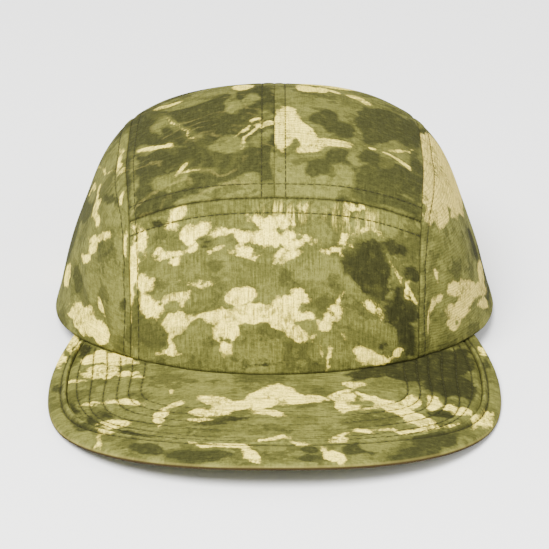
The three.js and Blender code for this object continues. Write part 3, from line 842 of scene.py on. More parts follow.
# ---- camouflage fields ----
# Each entry is a kind and an ellipse on the flat cloth in millimetres: place, half axes and lean.
# Kinds: m middle olive, l light olive, d dark olive, p pale, s pale streaks. A later entry lies
# over earlier ones, and streaks lie over all but dark ones that come later.
BLOBS = {
    "top_panel_left": """
d -36 35 70 33 -81, d -7 59 40 9.6 -89, d -4 2 10 3.5 90, m -34 92 14.6 10.7 -27,
l -16 70 9.3 3.3 -80, p -43 92 5.8 2.2 -5, p -13 99 10.4 4.2 -87, m -43 66 11.3 4.2 -78,
d -42 59 5.8 2.3 -75, l -38 64 12.2 1.4 -68, p -39 66 5.4 0.3 -63, p -36 57 7.5 0.3 -71,
l -32 50 11 1 -65, m -50 47 6.6 2.8 -75, p -46 44 8.2 2.2 -40, p -40 41 3.8 1.3 -82,
l -38 37 3 0.9 -46, l -23 28 3.7 2.6 -35, l -17 31 8.7 6.3 88, m -5 35 7.9 2.6 66,
p -11 44 7.1 0.5 68, p -7 52 2.9 0.9 44, p -9 39 8.9 0.5 72, p -6 46 2.5 1.5 -24,
p -2 48 2.5 2.4 -26, l -3 57 3.6 2.8 -79, m -40 11 9 4.2 -23, l -43 12 4.2 2.5 -54,
p -37 17 2.9 1.1 54, p -31 14 3.2 0.5 -2, l -27 14 4.5 0.6 1, l -11 9 4.2 2.4 11,
m -14 5 13.8 2.7 6, m -26 1 25.2 1.4 2, l -11 3 11 1.3 4, m -12 -1 11.6 2 2, d -47 2 7.4 2.7 -12,
l -55 23 24.4 1.4 89, m -9 75 7.3 3 78, d -26 62 16.6 7.6 -74, d -5 20 10.5 3.4 90
""",
    # Among this panel's dark entries is a dark line low on the panel that stands for the shade in a
    # fold: painted shade
    "side_panel_left": """
l -149 72 9.2 0.6 6, p -130 72 10.1 0.8 3, p -120 72 8.1 1 7, p -137 66 10.6 0.4 28,
p -82 71 4.7 1.6 -2, p -145 52 3.6 0.9 44, p -125 60 11.1 1.3 2, p -119 56 9.2 1.9 4,
p -105 57 4.4 1.3 -6, d -145 44 28.7 3.9 29, d -100 66 15.3 1.9 12, l -183 55 40 3 22,
l -122 67 19 2.4 14, p -119 58 6.5 2.2 1, p -105 57 4.6 1.3 -3, p -97 52 10.1 1.6 19,
p -87 56 8.2 0.8 16, p -99 48 5.4 2.8 16, p -104 41 8.3 1.8 16, d -84 52 7.9 2.9 12,
m -84 52 5.9 2.1 12, p -127 23 6.1 4.7 4, d -111 28 9.8 3.6 -16, l -94 31 13.8 6.6 21,
m -74 41 11.7 6.6 -89, p -102 19 13.4 3.3 19, p -90 17 13.1 4.9 6, p -82 17 6.1 4.9 6,
p -83 27 3.3 2.4 -47, m -116 13 10.7 1.6 32, l -106 10 10.4 0.8 34, d -67 33 2.7 1.8 73,
p -66 57 4.3 1.6 -82, l -71 57 4.4 2.5 -75
""",
    "front_panel": """
p -53 -10 4.3 2.1 -85, p -57 -23 16.8 1.9 87, p -52 -25 4 3 -53, m -44 -11 8 4.7 -23,
m -41 -23 11.3 4 -15, d -45 -5 3.3 1.3 -18, p -38 -3 2.5 1.9 6, p -40 -7 2.3 1.7 -27,
p -31 -10 5 2.4 1, p -35 -12 3.1 2.6 -61, p -34 -17 3.5 1.5 19, p -39 -18 4.3 1 1,
p -46 -17 3.1 2.2 -33, m -46 -18 1.2 0.7 -25, d -26 -14 3.1 0.5 -19, d -24 -16 3.9 0.5 -2,
p -22 -12 4.7 1 -9, p -17 -13 7.1 1.1 -11, p -12 -15 3.6 1.9 -20, l -20 -16 4.1 1.7 -4,
s -2 -4 4.1 2.2 0, p -12 -20 5.7 1.8 -2, p -14 -22 1.7 1.4 -7, p -22 -18 2 0.6 5,
p -2 -8 7.6 2.4 -6, p -5 -6 2.7 1.4 -18, p -3 -14 6.5 2.9 0, m -21 -26 24.8 5.8 -4,
p -40 -21 1.4 1.2 -44, p -25 -32 1.8 0.3 -10, p -34 -31 1.8 0.3 -28, p -14 -37 5.2 3.3 -3,
p -20 -45 8.3 2.5 2, p -8 -44 11.9 3.8 0, p 1 -43 4.8 3.2 0, p -19 -50 5.2 4.4 -8,
p -19 -56 3.9 2.4 -89, m -18 -53 1.4 1.3 -80, m -21 -52 0.8 0.7 -82, p -40 -36 5.1 3 -8,
p -39 -45 5.5 4.4 -31, p -49 -36 5.5 2.6 -50, p -51 -32 3.2 2.3 -48, p -33 -44 5.4 1.2 -2,
p -42 -51 4.1 1.8 84, p -43 -56 4.7 1.6 -13, m -42 -38 3.7 2.1 -36, m -50 -46 7.2 5.5 -52,
m -30 -48 4.4 3.6 -18, m -30 -39 6.4 3.2 -9, m -32 -55 9.5 5 -9, m -6 -56 10.1 7.6 0,
m -56 -46 6.8 1.7 -90, d -5 -64 7.2 0.5 0, m 2 -4 11.7 2.7 0, p 2 -8 3.9 1.9 0,
p -1 -14 3.3 2.6 90, p 5 -14 5.2 2.5 -4, p 8 -17 3.3 2.3 -15, p 6 -22 5 2.4 10,
p 2 -20 2.2 1.8 -90, m 16 -26 13 6.1 3, p 27 -3 3.3 0.6 -89, p 29 -4 2.7 0.5 -89,
p 35 -3 3.4 0.9 -89, p 33 -1 2.2 0.5 -89, p 27 -9 5 1 -89, p 31 -9 3.3 0.5 -89,
p 36 -9 2.2 1.8 47, p 41 -10 2.4 0.9 -10, p 10 -3 2.2 1.2 -90, p 13 -4 2.6 0.6 -90,
p 8 -8 2.5 0.7 -90, l 31 -7 9.4 3.8 10, s 31 -6 9.8 5 3, s 9 -6 6.4 3.8 2, s 0 -4 3.5 2.2 0,
p 13 -16 3.4 1.4 2, p 23 -19 4.3 1.5 11, p 27 -20 1.5 1.2 15, d 39 -17 10.3 3.4 16,
d 39 -24 8.3 5.8 23, d 41 -31 6.6 4.7 26, d 48 -13 4.6 3.1 18, d 39 -24 10.3 8.1 70,
d 35 -17 6.9 2.6 12, l 49 -8 3.6 2.6 41, l 51 -19 3.1 1.9 50, l 51 -18 2.2 0.6 53,
p 50 -24 2 0.3 -60, d 55 -21 3.8 2.7 51, d 51 -34 7.5 5.3 39, d 50 -40 7.7 4.3 25,
d 53 -48 7.4 4.2 82, p 54 -28 2.5 1 88, p 56 -30 1.8 0.6 -71, l 47 -31 3 0.6 63,
p 40 -39 3 1.6 -18, p 42 -39 2.7 0.7 -90, p 5 -40 5.4 3.3 9, p 11 -37 4 1.8 -17,
p 7 -44 7.3 2.7 -4, p 2 -47 4.9 3.4 -18, p 9 -52 5.1 2.8 -19, p -1 -44 4 2.5 90, m 8 -36 1 0.7 1,
m 12 -47 3.3 1.8 1, p 26 -38 2.3 0.8 80, p 25 -42 2.5 2.1 14, p 24 -45 3.6 1.8 24,
p 20 -49 3.5 2.1 -10, p 27 -51 1.7 0.6 -53, m 24 -44 1.3 0.8 7, p 37 -59 4 3.1 22,
p 41 -60 4.7 2 13, p 49 -55 1.9 0.9 44, p 22 -62 2.8 0.7 -90, p 19 -60 2.4 0.5 -69,
d 43 -54 1.6 1.3 56, d 32 -22 7.3 4.5 86
""",
    "top_panel_right": """
l 6 12 9 7.5 90, p 3 44 19.7 4.4 90, p 11 40 12.1 5.3 -70, p 21 33 9.1 3.9 6, p 15 27 6.6 3 22,
d 10 54 2.2 0.9 -89, d 8 30 4.2 0.6 -81, m 5 85 11.4 5.8 -89, p 12 95 9.6 3.9 -82,
p 17 95 7.9 3.2 78, l 20 74 12.3 5.5 78, p 23 97 4.1 2.2 -51, p 32 94 4.3 3.2 -31,
p 36 89 3.3 2 -70, d 23 51 8.6 5.7 -78, d 27 45 6.6 3.5 -80, d 42 70 19.5 9.8 71,
d 35 73 9.6 3.2 81, l 27 68 9.7 3.5 82, l 32 47 7.5 2.4 84, d 40 51 13.7 5.1 53, p 37 36 2 1.6 71,
p 40 35 4 1 -17, p 47 42 4.1 1 52, p 47 32 3.3 1.6 -41, p 52 30 3.1 1 -46, p 53 49 3 1 81,
l 50 51 8 2.8 59, l 43 38 8.2 3.2 59, d 17 14 6.1 4.7 41, d 25 22 7 4.5 62, d 29 16 5.9 2.8 87,
d 44 15 15.4 9.6 41, d 36 25 7.5 3.1 84, l 31 21 5.9 2.1 88, l 27 11 4.1 3.6 64,
l 27 5 4.1 2.8 12, m 43 24 4.5 2.2 74, d 47 4 12.9 3.5 5, p 5 57 8.8 4.6 86, p 8 47 8.6 3.9 -90,
p 13 34 8.2 4.4 -63, d 19 58 9 5.2 75, d 27 47 8.2 4.3 87, l 27 67 9.6 2.7 85,
d 43 68 21.7 9.5 70, d 53 69 20.7 4.5 83, l 32 46 6.1 1.8 85, d 56 27 26.6 2.1 -89,
d 42 10 11.2 7.6 26, d 37 26 6.9 3.6 74, l 31 23 7.1 2.1 89, l 43 24 4.4 2.1 73,
l 50 40 7.7 2.7 65, l 27 9 5.4 3.6 86, p 37 36 1.7 1.4 74, p 48 43 4.9 0.9 47,
p 44 34 2.7 0.9 -30, p 48 31 2.7 1.3 -31, p 52 28 2 0.8 -38, p 53 48 2.4 0.6 89,
d 45 8 12.8 3.8 16, d 28 2 2.4 1.4 10, l 13 3 12.7 2.8 -1, l 5 2 6.4 3.3 1, d 55 32 30.1 2.1 -88
""",
    "side_panel_right": """
p 111 72 40 3.7 -1, p 137 66 32.5 10.2 -8, p 127 60 40 10 -18, d 157 72 8.9 1.2 -18,
m 101 62 12 2.7 -10, m 137 44 25.8 2.8 -28, p 128 55 20.1 2.6 -21, p 79 68 9.5 3.5 11,
p 93 64 15.1 5.5 -3, p 128 55 22 3.1 -20, m 92 47 35.4 9.2 -15, l 70 54 11.1 4 81,
p 73 44 3 1 -76, p 129 24 9.3 4.7 -5, p 94 32 13.1 3.2 -20, p 111 25 23.5 3.1 -23,
p 90 24 11.1 3.6 -22, p 99 25 9.3 3.2 -22, p 85 20 6.2 2.7 -24, p 119 15 7.4 3 -20,
m 88 19 1.8 0.8 -25, p 75 34 2.1 1.3 -12, p 72 32 2.9 1.3 74, p 70 26 6 0.7 86
""",
    "border": """
d -51 -147 9.8 3.9 -35, d -31 -160 9.1 4.4 -18, d 31 -155 7.3 5.6 22, d 13 -163 6.5 3.4 5,
d -70 -127 8.8 2.1 -59, d 54 -150 10.5 3.9 35, p -80 -50 10.2 3.3 -77, m -78 -57 4 1.3 -71,
p -83 -63 6.6 2 -77, m -80 -70 6.3 1.8 -68, d -83 -86 4.7 2.2 -66, l -84 -94 5.5 2.4 -72,
m -84 -106 6.6 2.2 -81, l -81 -113 3.2 1.5 -54, l -68 -134 5.6 3 -64, p -65 -140 4.5 0.8 89,
p -62 -132 4.3 1.2 -40, m -55 -145 10.2 4.7 -41, d -47 -151 7.3 3.8 -40, l -47 -143 3.9 3 -53,
p -20 -147 5 2 8, p -17 -152 9 2.2 -16, p -28 -151 5.1 1.4 -8, d -23 -160 7.7 5 -11,
p -9 -160 6 2.7 -76, p -7 -166 2.7 2 -4, p -3 -150 3.4 1 10, l -36 -150 5.8 4.4 -28,
p 3 -148 4 1.9 -12, p 10 -151 2.7 1.5 4, l 3 -157 6.5 4.6 2, p 21 -161 4.7 4 -52,
p 18 -158 3.4 1.3 88, d 13 -156 3.5 3.2 65, l 38 -149 7.8 6.3 44, m 31 -160 4.5 3.3 20,
d 59 -141 12.3 5.2 33, d 47 -157 7.1 2.5 24, l 71 -136 7.6 2.5 66, p 78 -116 9.4 2.6 67,
l 74 -128 6.9 1.5 66, d 82 -74 24.1 1.4 89, m 83 -91 19.4 2.3 86, m 83 -79 10.7 2.8 83,
p 81 -53 6 2.1 85, l 80 -46 7.1 2.3 81, d 83 -60 4.2 1.3 81
""",
    "peak": """
d -74 -62 7.8 2.8 -78, p -71 -70 4.9 3.5 -61, p -67 -69 6.1 3 -77, p -68 -82 7.3 4.9 -39,
m -74 -76 4.3 1.9 -75, p -61 -75 6.7 4.3 -62, p -63 -84 6.6 3 -80, p -56 -78 4.2 2.1 -39,
p -54 -89 4.9 1.8 -20, p -51 -92 2.2 1.3 6, m -57 -83 2.7 1.7 -41, p -77 -84 3.5 0.6 -38,
m -54 -102 15.7 5.1 -20, p -63 -109 3.5 1.1 -14, p -53 -113 4.4 1.4 -25, p -69 -108 2.6 0.5 -28,
p -58 -126 4.9 1.2 -34, p -60 -128 2.4 1 -25, d -63 -119 4.6 1.4 -45, l -31 -101 18.4 9.7 -12,
p -38 -107 1.5 0.8 -84, p -38 -118 4.3 2 37, p -42 -124 3.6 2.2 43, p -43 -129 2.3 1.8 -61,
p -43 -133 1.2 0.8 -79, p -23 -117 7.6 3.7 -29, p -15 -122 11.1 3.8 5, p -5 -117 8.2 5.5 65,
p -24 -126 7.8 3.1 -8, p -27 -132 5 1.8 -8, p -3 -128 5.1 2.6 -15, m -26 -121 2.4 1.6 -30,
m -17 -138 18.2 4.4 -5, d -18 -133 11.2 2.6 13, d -52 -138 12 1.4 -33, l -48 -142 7.6 0.8 -29,
p 4 -113 9 5.1 -50, p 10 -118 7.5 3.1 13, m 15 -108 7.2 5.3 27, p 24 -112 6.3 2.5 43,
p 27 -121 5.6 4.8 -58, p 29 -104 4 3 -2, p 34 -112 5.3 2.6 -27, p 39 -117 6.8 3.6 -18,
p 31 -124 5.4 1.4 20, m 33 -118 4.7 1.8 -1, p 45 -119 6.2 4.4 -11, p 51 -113 5.9 3.9 72,
p 50 -126 5.6 5.3 -2, p 55 -128 5.2 3.9 24, p 44 -126 3.9 1.1 -9, p 60 -111 6 2.5 82,
m 11 -132 16 9.7 -1, m 37 -129 11.6 5.7 -2, p 0 -128 3.7 2.7 -17, p 25 -114 4.8 4.2 44,
p 15 -117 4.7 1.2 4, p 30 -103 4.8 1.9 10, m 30 -118 3.6 1.6 10, p 0 -148 6.3 1.3 7,
p 10 -150 2.1 0.8 3, p 25 -147 3.6 1.1 24, p -56 -111 7.4 2.1 -20, p -66 -108 3.4 1 -27,
p -58 -128 4.4 1.1 -28, d -75 -108 6.1 1.6 -65, d -67 -122 6.1 2.1 -63, d 40 -90 15.5 5.5 35,
d 58 -80 23.3 11.3 37, d 65 -70 15.5 4.2 46, d 66 -93 12.3 8.5 39, m 35 -107 5.2 4.4 6,
l 27 -99 3.4 1.7 10, p 25 -145 3.9 1.3 33, p 33 -140 2.8 1.5 -15, p 40 -137 3.5 1.1 13,
p 55 -133 9.4 1.4 27, p 66 -125 5.5 1.1 35, p 69 -112 4.7 4.4 -17, d 63 -118 6.2 3.2 33,
m 70 -107 4.2 2 39, d 74 -96 8 2.7 80
""",
}
KINDS = {"m": 0, "l": 1, "d": 2, "p": 3, "s": 4}
# A field's value where its kind of colour is nowhere near
OUTSIDE = -12.0


def read_blobs(text):
    parts = [item.split() for item in text.replace("\n", " ").split(",")]
    return [(KINDS[part[0]],) + tuple(float(v) for v in part[1:]) for part in parts]


def lay_blobs(fields, flat, blobs):
    """Each field tells about how far inside its kind of cloth colour a place is, in millimetres."""
    for kind, x, y, long, wide, lean in blobs:
        c, s = math.cos(math.radians(lean)), math.sin(math.radians(lean))
        dx, dy = flat[:, 0] - x, flat[:, 1] - y
        away = np.sqrt(((dx * c + dy * s) / long) ** 2 + ((dy * c - dx * s) / wide) ** 2)
        inside = (1 - away) * min(long, wide)
        for number in fields:
            if number == kind:
                fields[number] = np.maximum(fields[number], inside)
            elif 3 >= number > kind or kind == 2 and number == 4:
                fields[number] = np.minimum(fields[number], -inside)


def scattered(seed, x, y, count):
    """Blobs for the cloth that the picture doesn't show."""
    draw = np.random.default_rng(seed)
    blobs = []
    for _ in range(count):
        kind = draw.choice([1, 2, 3], p=[0.35, 0.35, 0.3])
        at = np.array([draw.uniform(*x), draw.uniform(*y)])
        for _ in range(draw.integers(2, 6)):
            long = draw.uniform(5, 15)
            wide = long * draw.uniform(0.35, 0.8)
            blobs.append((kind, *at, long, wide, draw.uniform(-90, 90)))
            at = at + draw.normal(0, 9, 2)
    return blobs


# Where the blobs are scattered: range of x, range of y, number of groups
UNSEEN = {
    "top_panel_left": ((-60, 0), (112, 240), 16),
    "top_panel_right": ((0, 60), (112, 240), 16),
    "side_panel_left": ((-235, -158), (0, 78), 9),
    "side_panel_right": ((158, 235), (0, 78), 9),
    "peak_under": ((-88, 88), (-170, -50), 30),
}


def paint(obj, name):
    values = np.zeros(len(obj.data.vertices) * 3, np.float32)
    obj.data.attributes["flat"].data.foreach_get("vector", values)
    flat = values.reshape(-1, 3).astype(float)
    inside, flat = flat[:, 2] > 0.5, flat[:, :2]
    seed = sum(map(ord, name))
    place = np.column_stack([flat, np.full(len(flat), seed * 1.7)])
    for reach, size, first, second in ((1.5, 9, 0.0, 31.7), (0.7, 3.7, 3.1, 47.3)):
        wobble = [soft_noise(place, size, first), soft_noise(place, size, second)]
        flat = flat + reach * np.column_stack(wobble)
    fields = {number: np.full(len(flat), OUTSIDE) for number in (1, 2, 3, 4)}
    if name in UNSEEN:
        lay_blobs(fields, flat, scattered(seed, *UNSEEN[name]))
    if name in BLOBS:
        lay_blobs(fields, flat, read_blobs(BLOBS[name]))
    for number, word in enumerate(("light", "dark", "pale", "streak"), 1):
        store(obj, word, np.where(inside, OUTSIDE, fields[number]))


# ---- materials ----
CREAM = (0.93, 0.77, 0.12, 1)
CREAM_SHADE = (0.46, 0.37, 0.07, 1)
CREAM_OLIVE = (0.27, 0.235, 0.055, 1)
LIGHT = (0.128, 0.126, 0.03, 1)
MID = (0.075, 0.075, 0.0175, 1)
DEEP = (0.041, 0.0415, 0.0105, 1)
DARK = (0.0195, 0.02, 0.0062, 1)
# Lighter copies of the dark olive for the top panels, the left side panel and the peak's border:
# painted light
DARK_TOP_LIT = (0.029, 0.03, 0.0088, 1)
DARK_SIDE_LIT = (0.034, 0.035, 0.0098, 1)
# A darker, slightly browner copy of the cream for the right side panel: painted shade, with a
# browner tint
CREAM_TAN_SHADED = (0.68, 0.53, 0.12, 1)
# Painted shade in the grooves of the seams and stitch rows
CREASE_SHADE = (0.013, 0.013, 0.0045, 1)
THREAD_DARK = (0.014, 0.014, 0.005, 1)
THREAD_LIGHT = (0.03, 0.03, 0.01, 1)
# Painted brown shade on the lower half of the border's rounded edge, and a pale line along its top
# that is partly painted highlight
EDGE_SHADE_BROWN = (0.035, 0.024, 0.0095, 1)
EDGE_HIGHLIGHT_PALE = (0.3, 0.24, 0.06, 1)
# The ribs of the right side panel: the way across them on the flat cloth, and their spacing
RIB_WAY = (0.08, 0.997, 0)
RIB_PERIOD = 1.15


# Marks on the olive: scale, detail and roughness of the noise, share of the slub, ramp, strength
# and tone
MARKS = (
    ((0.052, 0.066, 0.9), 6, 0.58, 0.12, 0.525, 0.56, 0.72, DEEP),
    ((0.083, 0.1, 0.5), 6, 0.6, 0.12, 0.565, 0.6, 0.6, LIGHT),
    ((0.16, 0.2, 0.7), 7, 0.7, 0.35, 0.5, 0.66, 0.45, DEEP),
)


class Nodes:
    """A material and short ways to add nodes to it."""

    def __init__(self, name):
        self.material = bpy.data.materials.new(name)
        self.material.use_nodes = True
        self.tree = self.material.node_tree
        self.inputs = self.tree.nodes["Principled BSDF"].inputs

    def add(self, kind, inputs=(), **settings):
        node = self.tree.nodes.new(kind)
        for key, value in settings.items():
            setattr(node, key, value)
        for key, value in dict(inputs).items():
            self.set(node.inputs[key], value)
        return node

    def set(self, socket, value):
        if isinstance(value, bpy.types.NodeSocket):
            self.tree.links.new(value, socket)
        else:
            socket.default_value = value

    def math(self, operation, a, b=0.0):
        return self.add("ShaderNodeMath", {0: a, 1: b}, operation=operation).outputs[0]

    def sum(self, first, *others):
        for other in others:
            first = self.math("ADD", first, other)
        return first

    def times(self, a, b):
        return self.math("MULTIPLY", a, b)

    def wave(self, place, period):
        return self.math("SINE", self.times(place, 2 * math.pi / period))

    def field(self, name):
        return self.add("ShaderNodeAttribute", attribute_name=name).outputs["Fac"]

    def flat(self, operation, vector, output="Vector"):
        place = self.add("ShaderNodeAttribute", attribute_name="flat").outputs["Vector"]
        node = self.add("ShaderNodeVectorMath", {0: place, 1: vector}, operation=operation)
        return node.outputs[output]

    def noise(self, scale, detail, rough):
        inputs = {"Vector": self.flat("MULTIPLY", scale), "Scale": 1.0, "Detail": detail,
                  "Roughness": rough}
        return self.add("ShaderNodeTexNoise", inputs).outputs["Fac"]

    def centred(self, scale, detail, rough):
        return self.math("SUBTRACT", self.noise(scale, detail, rough), 0.5)

    def ramp(self, value, low, high, out_low=0.0, out_high=1.0, kind="SMOOTHSTEP"):
        inputs = {"Value": value, "From Min": low, "From Max": high, "To Min": out_low,
                  "To Max": out_high}
        return self.add("ShaderNodeMapRange", inputs, interpolation_type=kind).outputs["Result"]

    def mix(self, share, first, second):
        node = self.add("ShaderNodeMix", data_type="RGBA")
        for number, value in ((0, share), (6, first), (7, second)):
            self.set(node.inputs[number], value)
        return node.outputs[2]


def cloth_material(name, upright, level, ragged, lines=0.0, marble=0.0, fibres=0.0, dark=DARK,
                   cream=CREAM, paint_edge_light=False):
    """Printed cloth with upright and level slubs. Ragged is how torn the patches' edges are. Lines
    and fibres are ribs on the cream, marble is wavy lines on the olive, and bound cloth gets a
    painted highlight along the top of its rounded edge and painted brown shade on its lower half."""
    n = Nodes(name)
    broad = n.centred((0.15, 0.17, 1), 6, 0.62)
    torn = n.centred((0.55, 0.6, 1), 4, 0.65)
    grain = n.centred((1.9, 1.9, 1), 3, 0.75)
    slub = n.sum(n.times(n.centred((1.35, 0.1, 1), 4, 0.7), upright),
                 n.times(n.centred((0.1, 1.35, 1), 4, 0.7), level))
    edge = n.sum(n.times(broad, 6.0 * ragged), n.times(torn, 2.6 * ragged), n.times(slub, 1.8))
    # olive with lighter clouds, marks and dark patches
    clouds = n.sum(n.noise((0.06, 0.09, 1), 6, 0.66), n.times(slub, 0.4))
    colour = n.mix(n.ramp(clouds, 0.4, 0.6), MID, LIGHT)
    light = n.ramp(n.sum(n.field("light"), edge), -1.0, 1.4)
    colour = n.mix(n.times(light, 0.75), colour, LIGHT)
    for scale, detail, rough, share, low, high, strength, tone in MARKS:
        marks = n.sum(n.noise(scale, detail, rough), n.times(slub, share))
        colour = n.mix(n.ramp(marks, low, high, 0.0, strength), colour, tone)
    worn = n.ramp(n.noise((0.3, 0.24, 0.4), 5, 0.65), 0.5, 0.68, 0.95, 0.72)
    dark_share = n.ramp(n.sum(n.field("dark"), edge), -0.7, 0.9)
    colour = n.mix(n.times(dark_share, worn), colour, dark)
    # wavy lines that run across the cloth
    along = n.flat("DOT_PRODUCT", (0, 1, 0), "Value")
    drift = n.times(n.noise((0.04, 0.03, 1), 2.5, 0.5), 6.5)
    if marble:
        wave = n.wave(n.sum(n.times(along, 0.11), drift), 1)
        thin = n.ramp(n.sum(wave, n.times(torn, 2.4)), 0.3, 1.5)
        patch = n.ramp(n.noise((0.045, 0.06, 0.3), 3, 0.6), 0.48, 0.62)
        colour = n.mix(n.times(n.times(thin, patch), marble), colour, CREAM_OLIVE)
    # pale patches with a darker rim, their threads and their worn places
    pale_field = n.math("SUBTRACT", n.field("pale"), edge)
    rim = n.times(n.ramp(pale_field, -2.4, -0.6), n.ramp(pale_field, -0.6, 0.2, 1.0, 0.0))
    colour = n.mix(n.times(rim, 0.35), colour, MID)
    threads = n.ramp(n.sum(slub, n.times(grain, 0.7)), -0.16, 0.04)
    cream = n.mix(threads, CREAM_SHADE, cream)
    faded = n.ramp(n.noise((0.12, 0.14, 0.2), 5, 0.65), 0.54, 0.64, 0.0, 0.55)
    cream = n.mix(faded, cream, CREAM_OLIVE)
    if fibres:
        wave = n.wave(n.sum(n.times(along, 0.5), drift), 1)
        cream = n.mix(n.ramp(wave, 0.2, 1.0, 0.0, fibres), cream, CREAM_OLIVE)
    if lines:
        across = n.flat("DOT_PRODUCT", RIB_WAY, "Value")
        ribs = n.wave(n.sum(across, n.times(broad, 1.6)), RIB_PERIOD)
        cream = n.mix(n.ramp(ribs, -0.1, 0.9, 0.0, lines), cream, CREAM_OLIVE)
    worked = n.times(n.ramp(n.noise((0.07, 0.08, 0.8), 4, 0.6), 0.47, 0.58),
                     n.ramp(n.noise((0.75, 0.34, 1.4), 5, 0.7), 0.42, 0.56, 0.75, 0.0))
    cream = n.mix(worked, cream, MID)
    specks = n.ramp(n.noise((0.8, 0.5, 1), 4, 0.7), 0.6, 0.7, 1.0, 0.5)
    colour = n.mix(n.times(n.ramp(pale_field, -0.45, 0.55), specks), colour, cream)
    bands = n.ramp(n.centred((0.55, 0.07, 1), 4, 0.7), -0.04, 0.18)
    streak = n.times(bands, n.ramp(n.field("streak"), -2.0, 3.0))
    colour = n.mix(n.times(streak, 0.85), colour, n.mix(threads, CREAM_OLIVE, CREAM))
    # light and dark threads, painted shade in the grooves, and the painted highlight and brown
    # shade on the bound edge
    fleck = n.centred((0.5, 0.62, 1.2), 6, 0.72)
    shade = n.sum(n.times(slub, 1.3), n.times(grain, 1.1), n.times(fleck, 1.7))
    if lines:
        shade = n.sum(shade, n.times(ribs, 0.13))
    value = n.math("MAXIMUM", n.sum(1.0, shade), 0.3)
    shaded = n.add("ShaderNodeHueSaturation", {"Color": colour, "Value": value}).outputs[0]
    colour = n.mix(n.ramp(n.field("groove_shade"), 0.05, 1, 0.0, 0.92, "LINEAR"), shaded, CREASE_SHADE)
    if paint_edge_light:
        colour = n.mix(n.ramp(n.field("brink"), 0.1, 0.3, 0.0, 0.2), colour, EDGE_HIGHLIGHT_PALE)
        colour = n.mix(n.ramp(n.field("brink"), 0.38, 0.56), colour, EDGE_SHADE_BROWN)
    weave = n.sum(slub, n.times(grain, 0.8))
    bump = n.add("ShaderNodeBump", {"Height": weave, "Distance": 0.0004, "Strength": 0.8})
    n.set(n.inputs["Base Color"], colour)
    n.set(n.inputs["Roughness"], n.ramp(grain, -0.2, 0.2, 0.86, 0.97, "LINEAR"))
    n.set(n.inputs["Specular IOR Level"], 0.04)
    n.set(n.inputs["Normal"], bump.outputs[0])
    return n.material


def thread_material():
    n = Nodes("thread")
    place = n.add("ShaderNodeTexCoord").outputs["Object"]
    twist = n.add("ShaderNodeTexNoise", {"Vector": place, "Scale": 900.0}).outputs["Fac"]
    n.set(n.inputs["Base Color"], n.mix(n.ramp(twist, 0.35, 0.65), THREAD_DARK, THREAD_LIGHT))
    n.set(n.inputs["Roughness"], 0.75)
    n.set(n.inputs["Specular IOR Level"], 0.08)
    return n.material


def floor_material():
    n = Nodes("floor")
    n.set(n.inputs["Base Color"], (0.92, 0.92, 0.91, 1))
    n.set(n.inputs["Roughness"], 0.9)
    return n.material


def dress(obj, material, node=None):
    obj.data.materials.append(material)
    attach(obj, "root")
    if node:
        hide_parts(node)


# ---- pieces ----
thread = thread_material()
materials = {
    "front_panel": cloth_material("front_cloth", 1.0, 0.25, 0.9),
    "top_panel_left": cloth_material("top_left_cloth", 0.6, 0.6, 0.5, marble=0.34, dark=DARK_TOP_LIT),
    "top_panel_right": cloth_material("top_right_cloth", 0.6, 0.6, 0.6, fibres=0.5, dark=DARK_SIDE_LIT),
    "side_panel_left": cloth_material("side_left_cloth", 0.6, 0.6, 0.8, dark=DARK_SIDE_LIT),
    "side_panel_right": cloth_material("side_right_cloth", 0.2, 0.5, 0.7, lines=0.85,
                                       cream=CREAM_TAN_SHADED),
    "peak": cloth_material("peak_cloth", 0.3, 1.1, 0.8),
    "border": cloth_material("border_cloth", 0.3, 0.8, 0.8, dark=DARK_TOP_LIT, paint_edge_light=True),
}


def make_panel(node, slot, grid, seams, *rows):
    """Each row is a line of inset_line, and may have a depth after it."""
    rows = [(inset_line(grid, *line), *(deep or [1.0])) for line, *deep in rows]
    panel = Panel(grid, seams, rows)
    piece = panel.build(node + "_cloth")
    paint(piece, node)
    dress(piece, materials[node], node)
    dress(stitch_object(node + "_stitches", panel.stitches()), thread)


make_panel("front_panel", "crown_cloth", front_grid(), ("cross", "left", "right", "rim"),
           [(1, True, 5.5)], [(0, False, 4.2)])
make_panel("top_panel_left", "crown_cloth", top_grid(-1), ("cross", "centre", "left", "rim"),
           [(1, False, 5.4)], [(0, True, 4.8)], [(0, False, 4.4), 0.6])
make_panel("side_panel_left", "side_cloth", side_grid(-1), ("left", "rim"), [(1, True, 6.2, 3)])
make_panel("top_panel_right", "crown_cloth", top_grid(1), ("cross", "centre", "right", "rim"),
           [(1, False, 5.4)], [(0, False, 4.1)])
make_panel("side_panel_right", "side_cloth", side_grid(1), ("right", "rim"), [(1, True, 6.2, 3)])

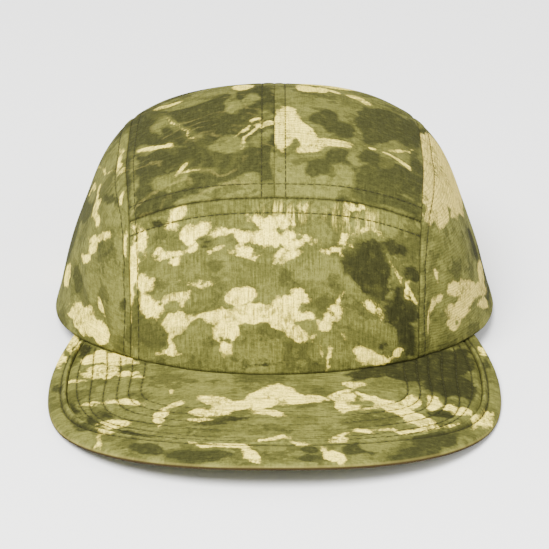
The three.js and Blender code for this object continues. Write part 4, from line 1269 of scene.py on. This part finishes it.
for piece, print_name, material_name, slot, node in (
    (peak_cloth("peak_top_cloth", 0.0, False), "peak", "peak", "peak_cloth", "peak_top"),
    (peak_cloth("peak_under_cloth", PEAK_CLOTH + LAYER_GAP, True), "peak_under", "peak",
     "under_cloth", "peak_under"),
    (peak_border(), "border", "border", "border_cloth", "peak_border"),
):
    paint(piece, print_name)
    dress(piece, materials[material_name], node)
dress(stitch_object("peak_stitches", peak_stitches()), thread)
dress(stitch_object("border_stitches", border_stitches()), thread)

# ---- floor, light and camera ----
FLOOR_REACH = 9
CAP_MIDDLE = (0, 0, 0.05)
floor_mesh = bpy.data.meshes.new("floor")
corners = [(x * FLOOR_REACH, y * FLOOR_REACH, 0) for x, y in ((-1, -1), (1, -1), (1, 1), (-1, 1))]
floor_mesh.from_pydata(corners, [], [(0, 1, 2, 3)])
floor = bpy.data.objects.new("floor", floor_mesh)
bpy.context.scene.collection.objects.link(floor)
floor.data.materials.append(floor_material())

world = bpy.data.worlds.new("studio")
world.use_nodes = True
world.node_tree.nodes["Background"].inputs["Color"].default_value = (1, 1, 1, 1)
world.node_tree.nodes["Background"].inputs["Strength"].default_value = 1.0
bpy.context.scene.world = world


def add_to_scene(name, data, place, target):
    """A light or camera that looks from its place at a target."""
    obj = bpy.data.objects.new(name, data)
    obj.location = place
    obj.rotation_euler = (Vector(target) - Vector(place)).to_track_quat("-Z", "Y").to_euler()
    bpy.context.scene.collection.objects.link(obj)
    return obj


for name, place, size, power in (
    ("key", (-0.55, -1.5, 2.0), 1.5, 235), ("fill", (1.5, -1.3, 1.2), 1.4, 24),
):
    lamp = bpy.data.lights.new(name, "AREA")
    lamp.shape = "DISK"
    lamp.size = size
    lamp.energy = power
    add_to_scene(name, lamp, place, CAP_MIDDLE)

CAMERA_TILT = math.radians(23.12)
CAMERA_AWAY = 1.480
aim = Vector((0, SHIFT / 1000, 0.014585))
camera_data = bpy.data.cameras.new("camera")
camera_data.sensor_width = 36
camera_data.lens = 241.67
camera_place = aim + CAMERA_AWAY * Vector((0, -math.cos(CAMERA_TILT), math.sin(CAMERA_TILT)))
bpy.context.scene.camera = add_to_scene("camera", camera_data, camera_place, aim)
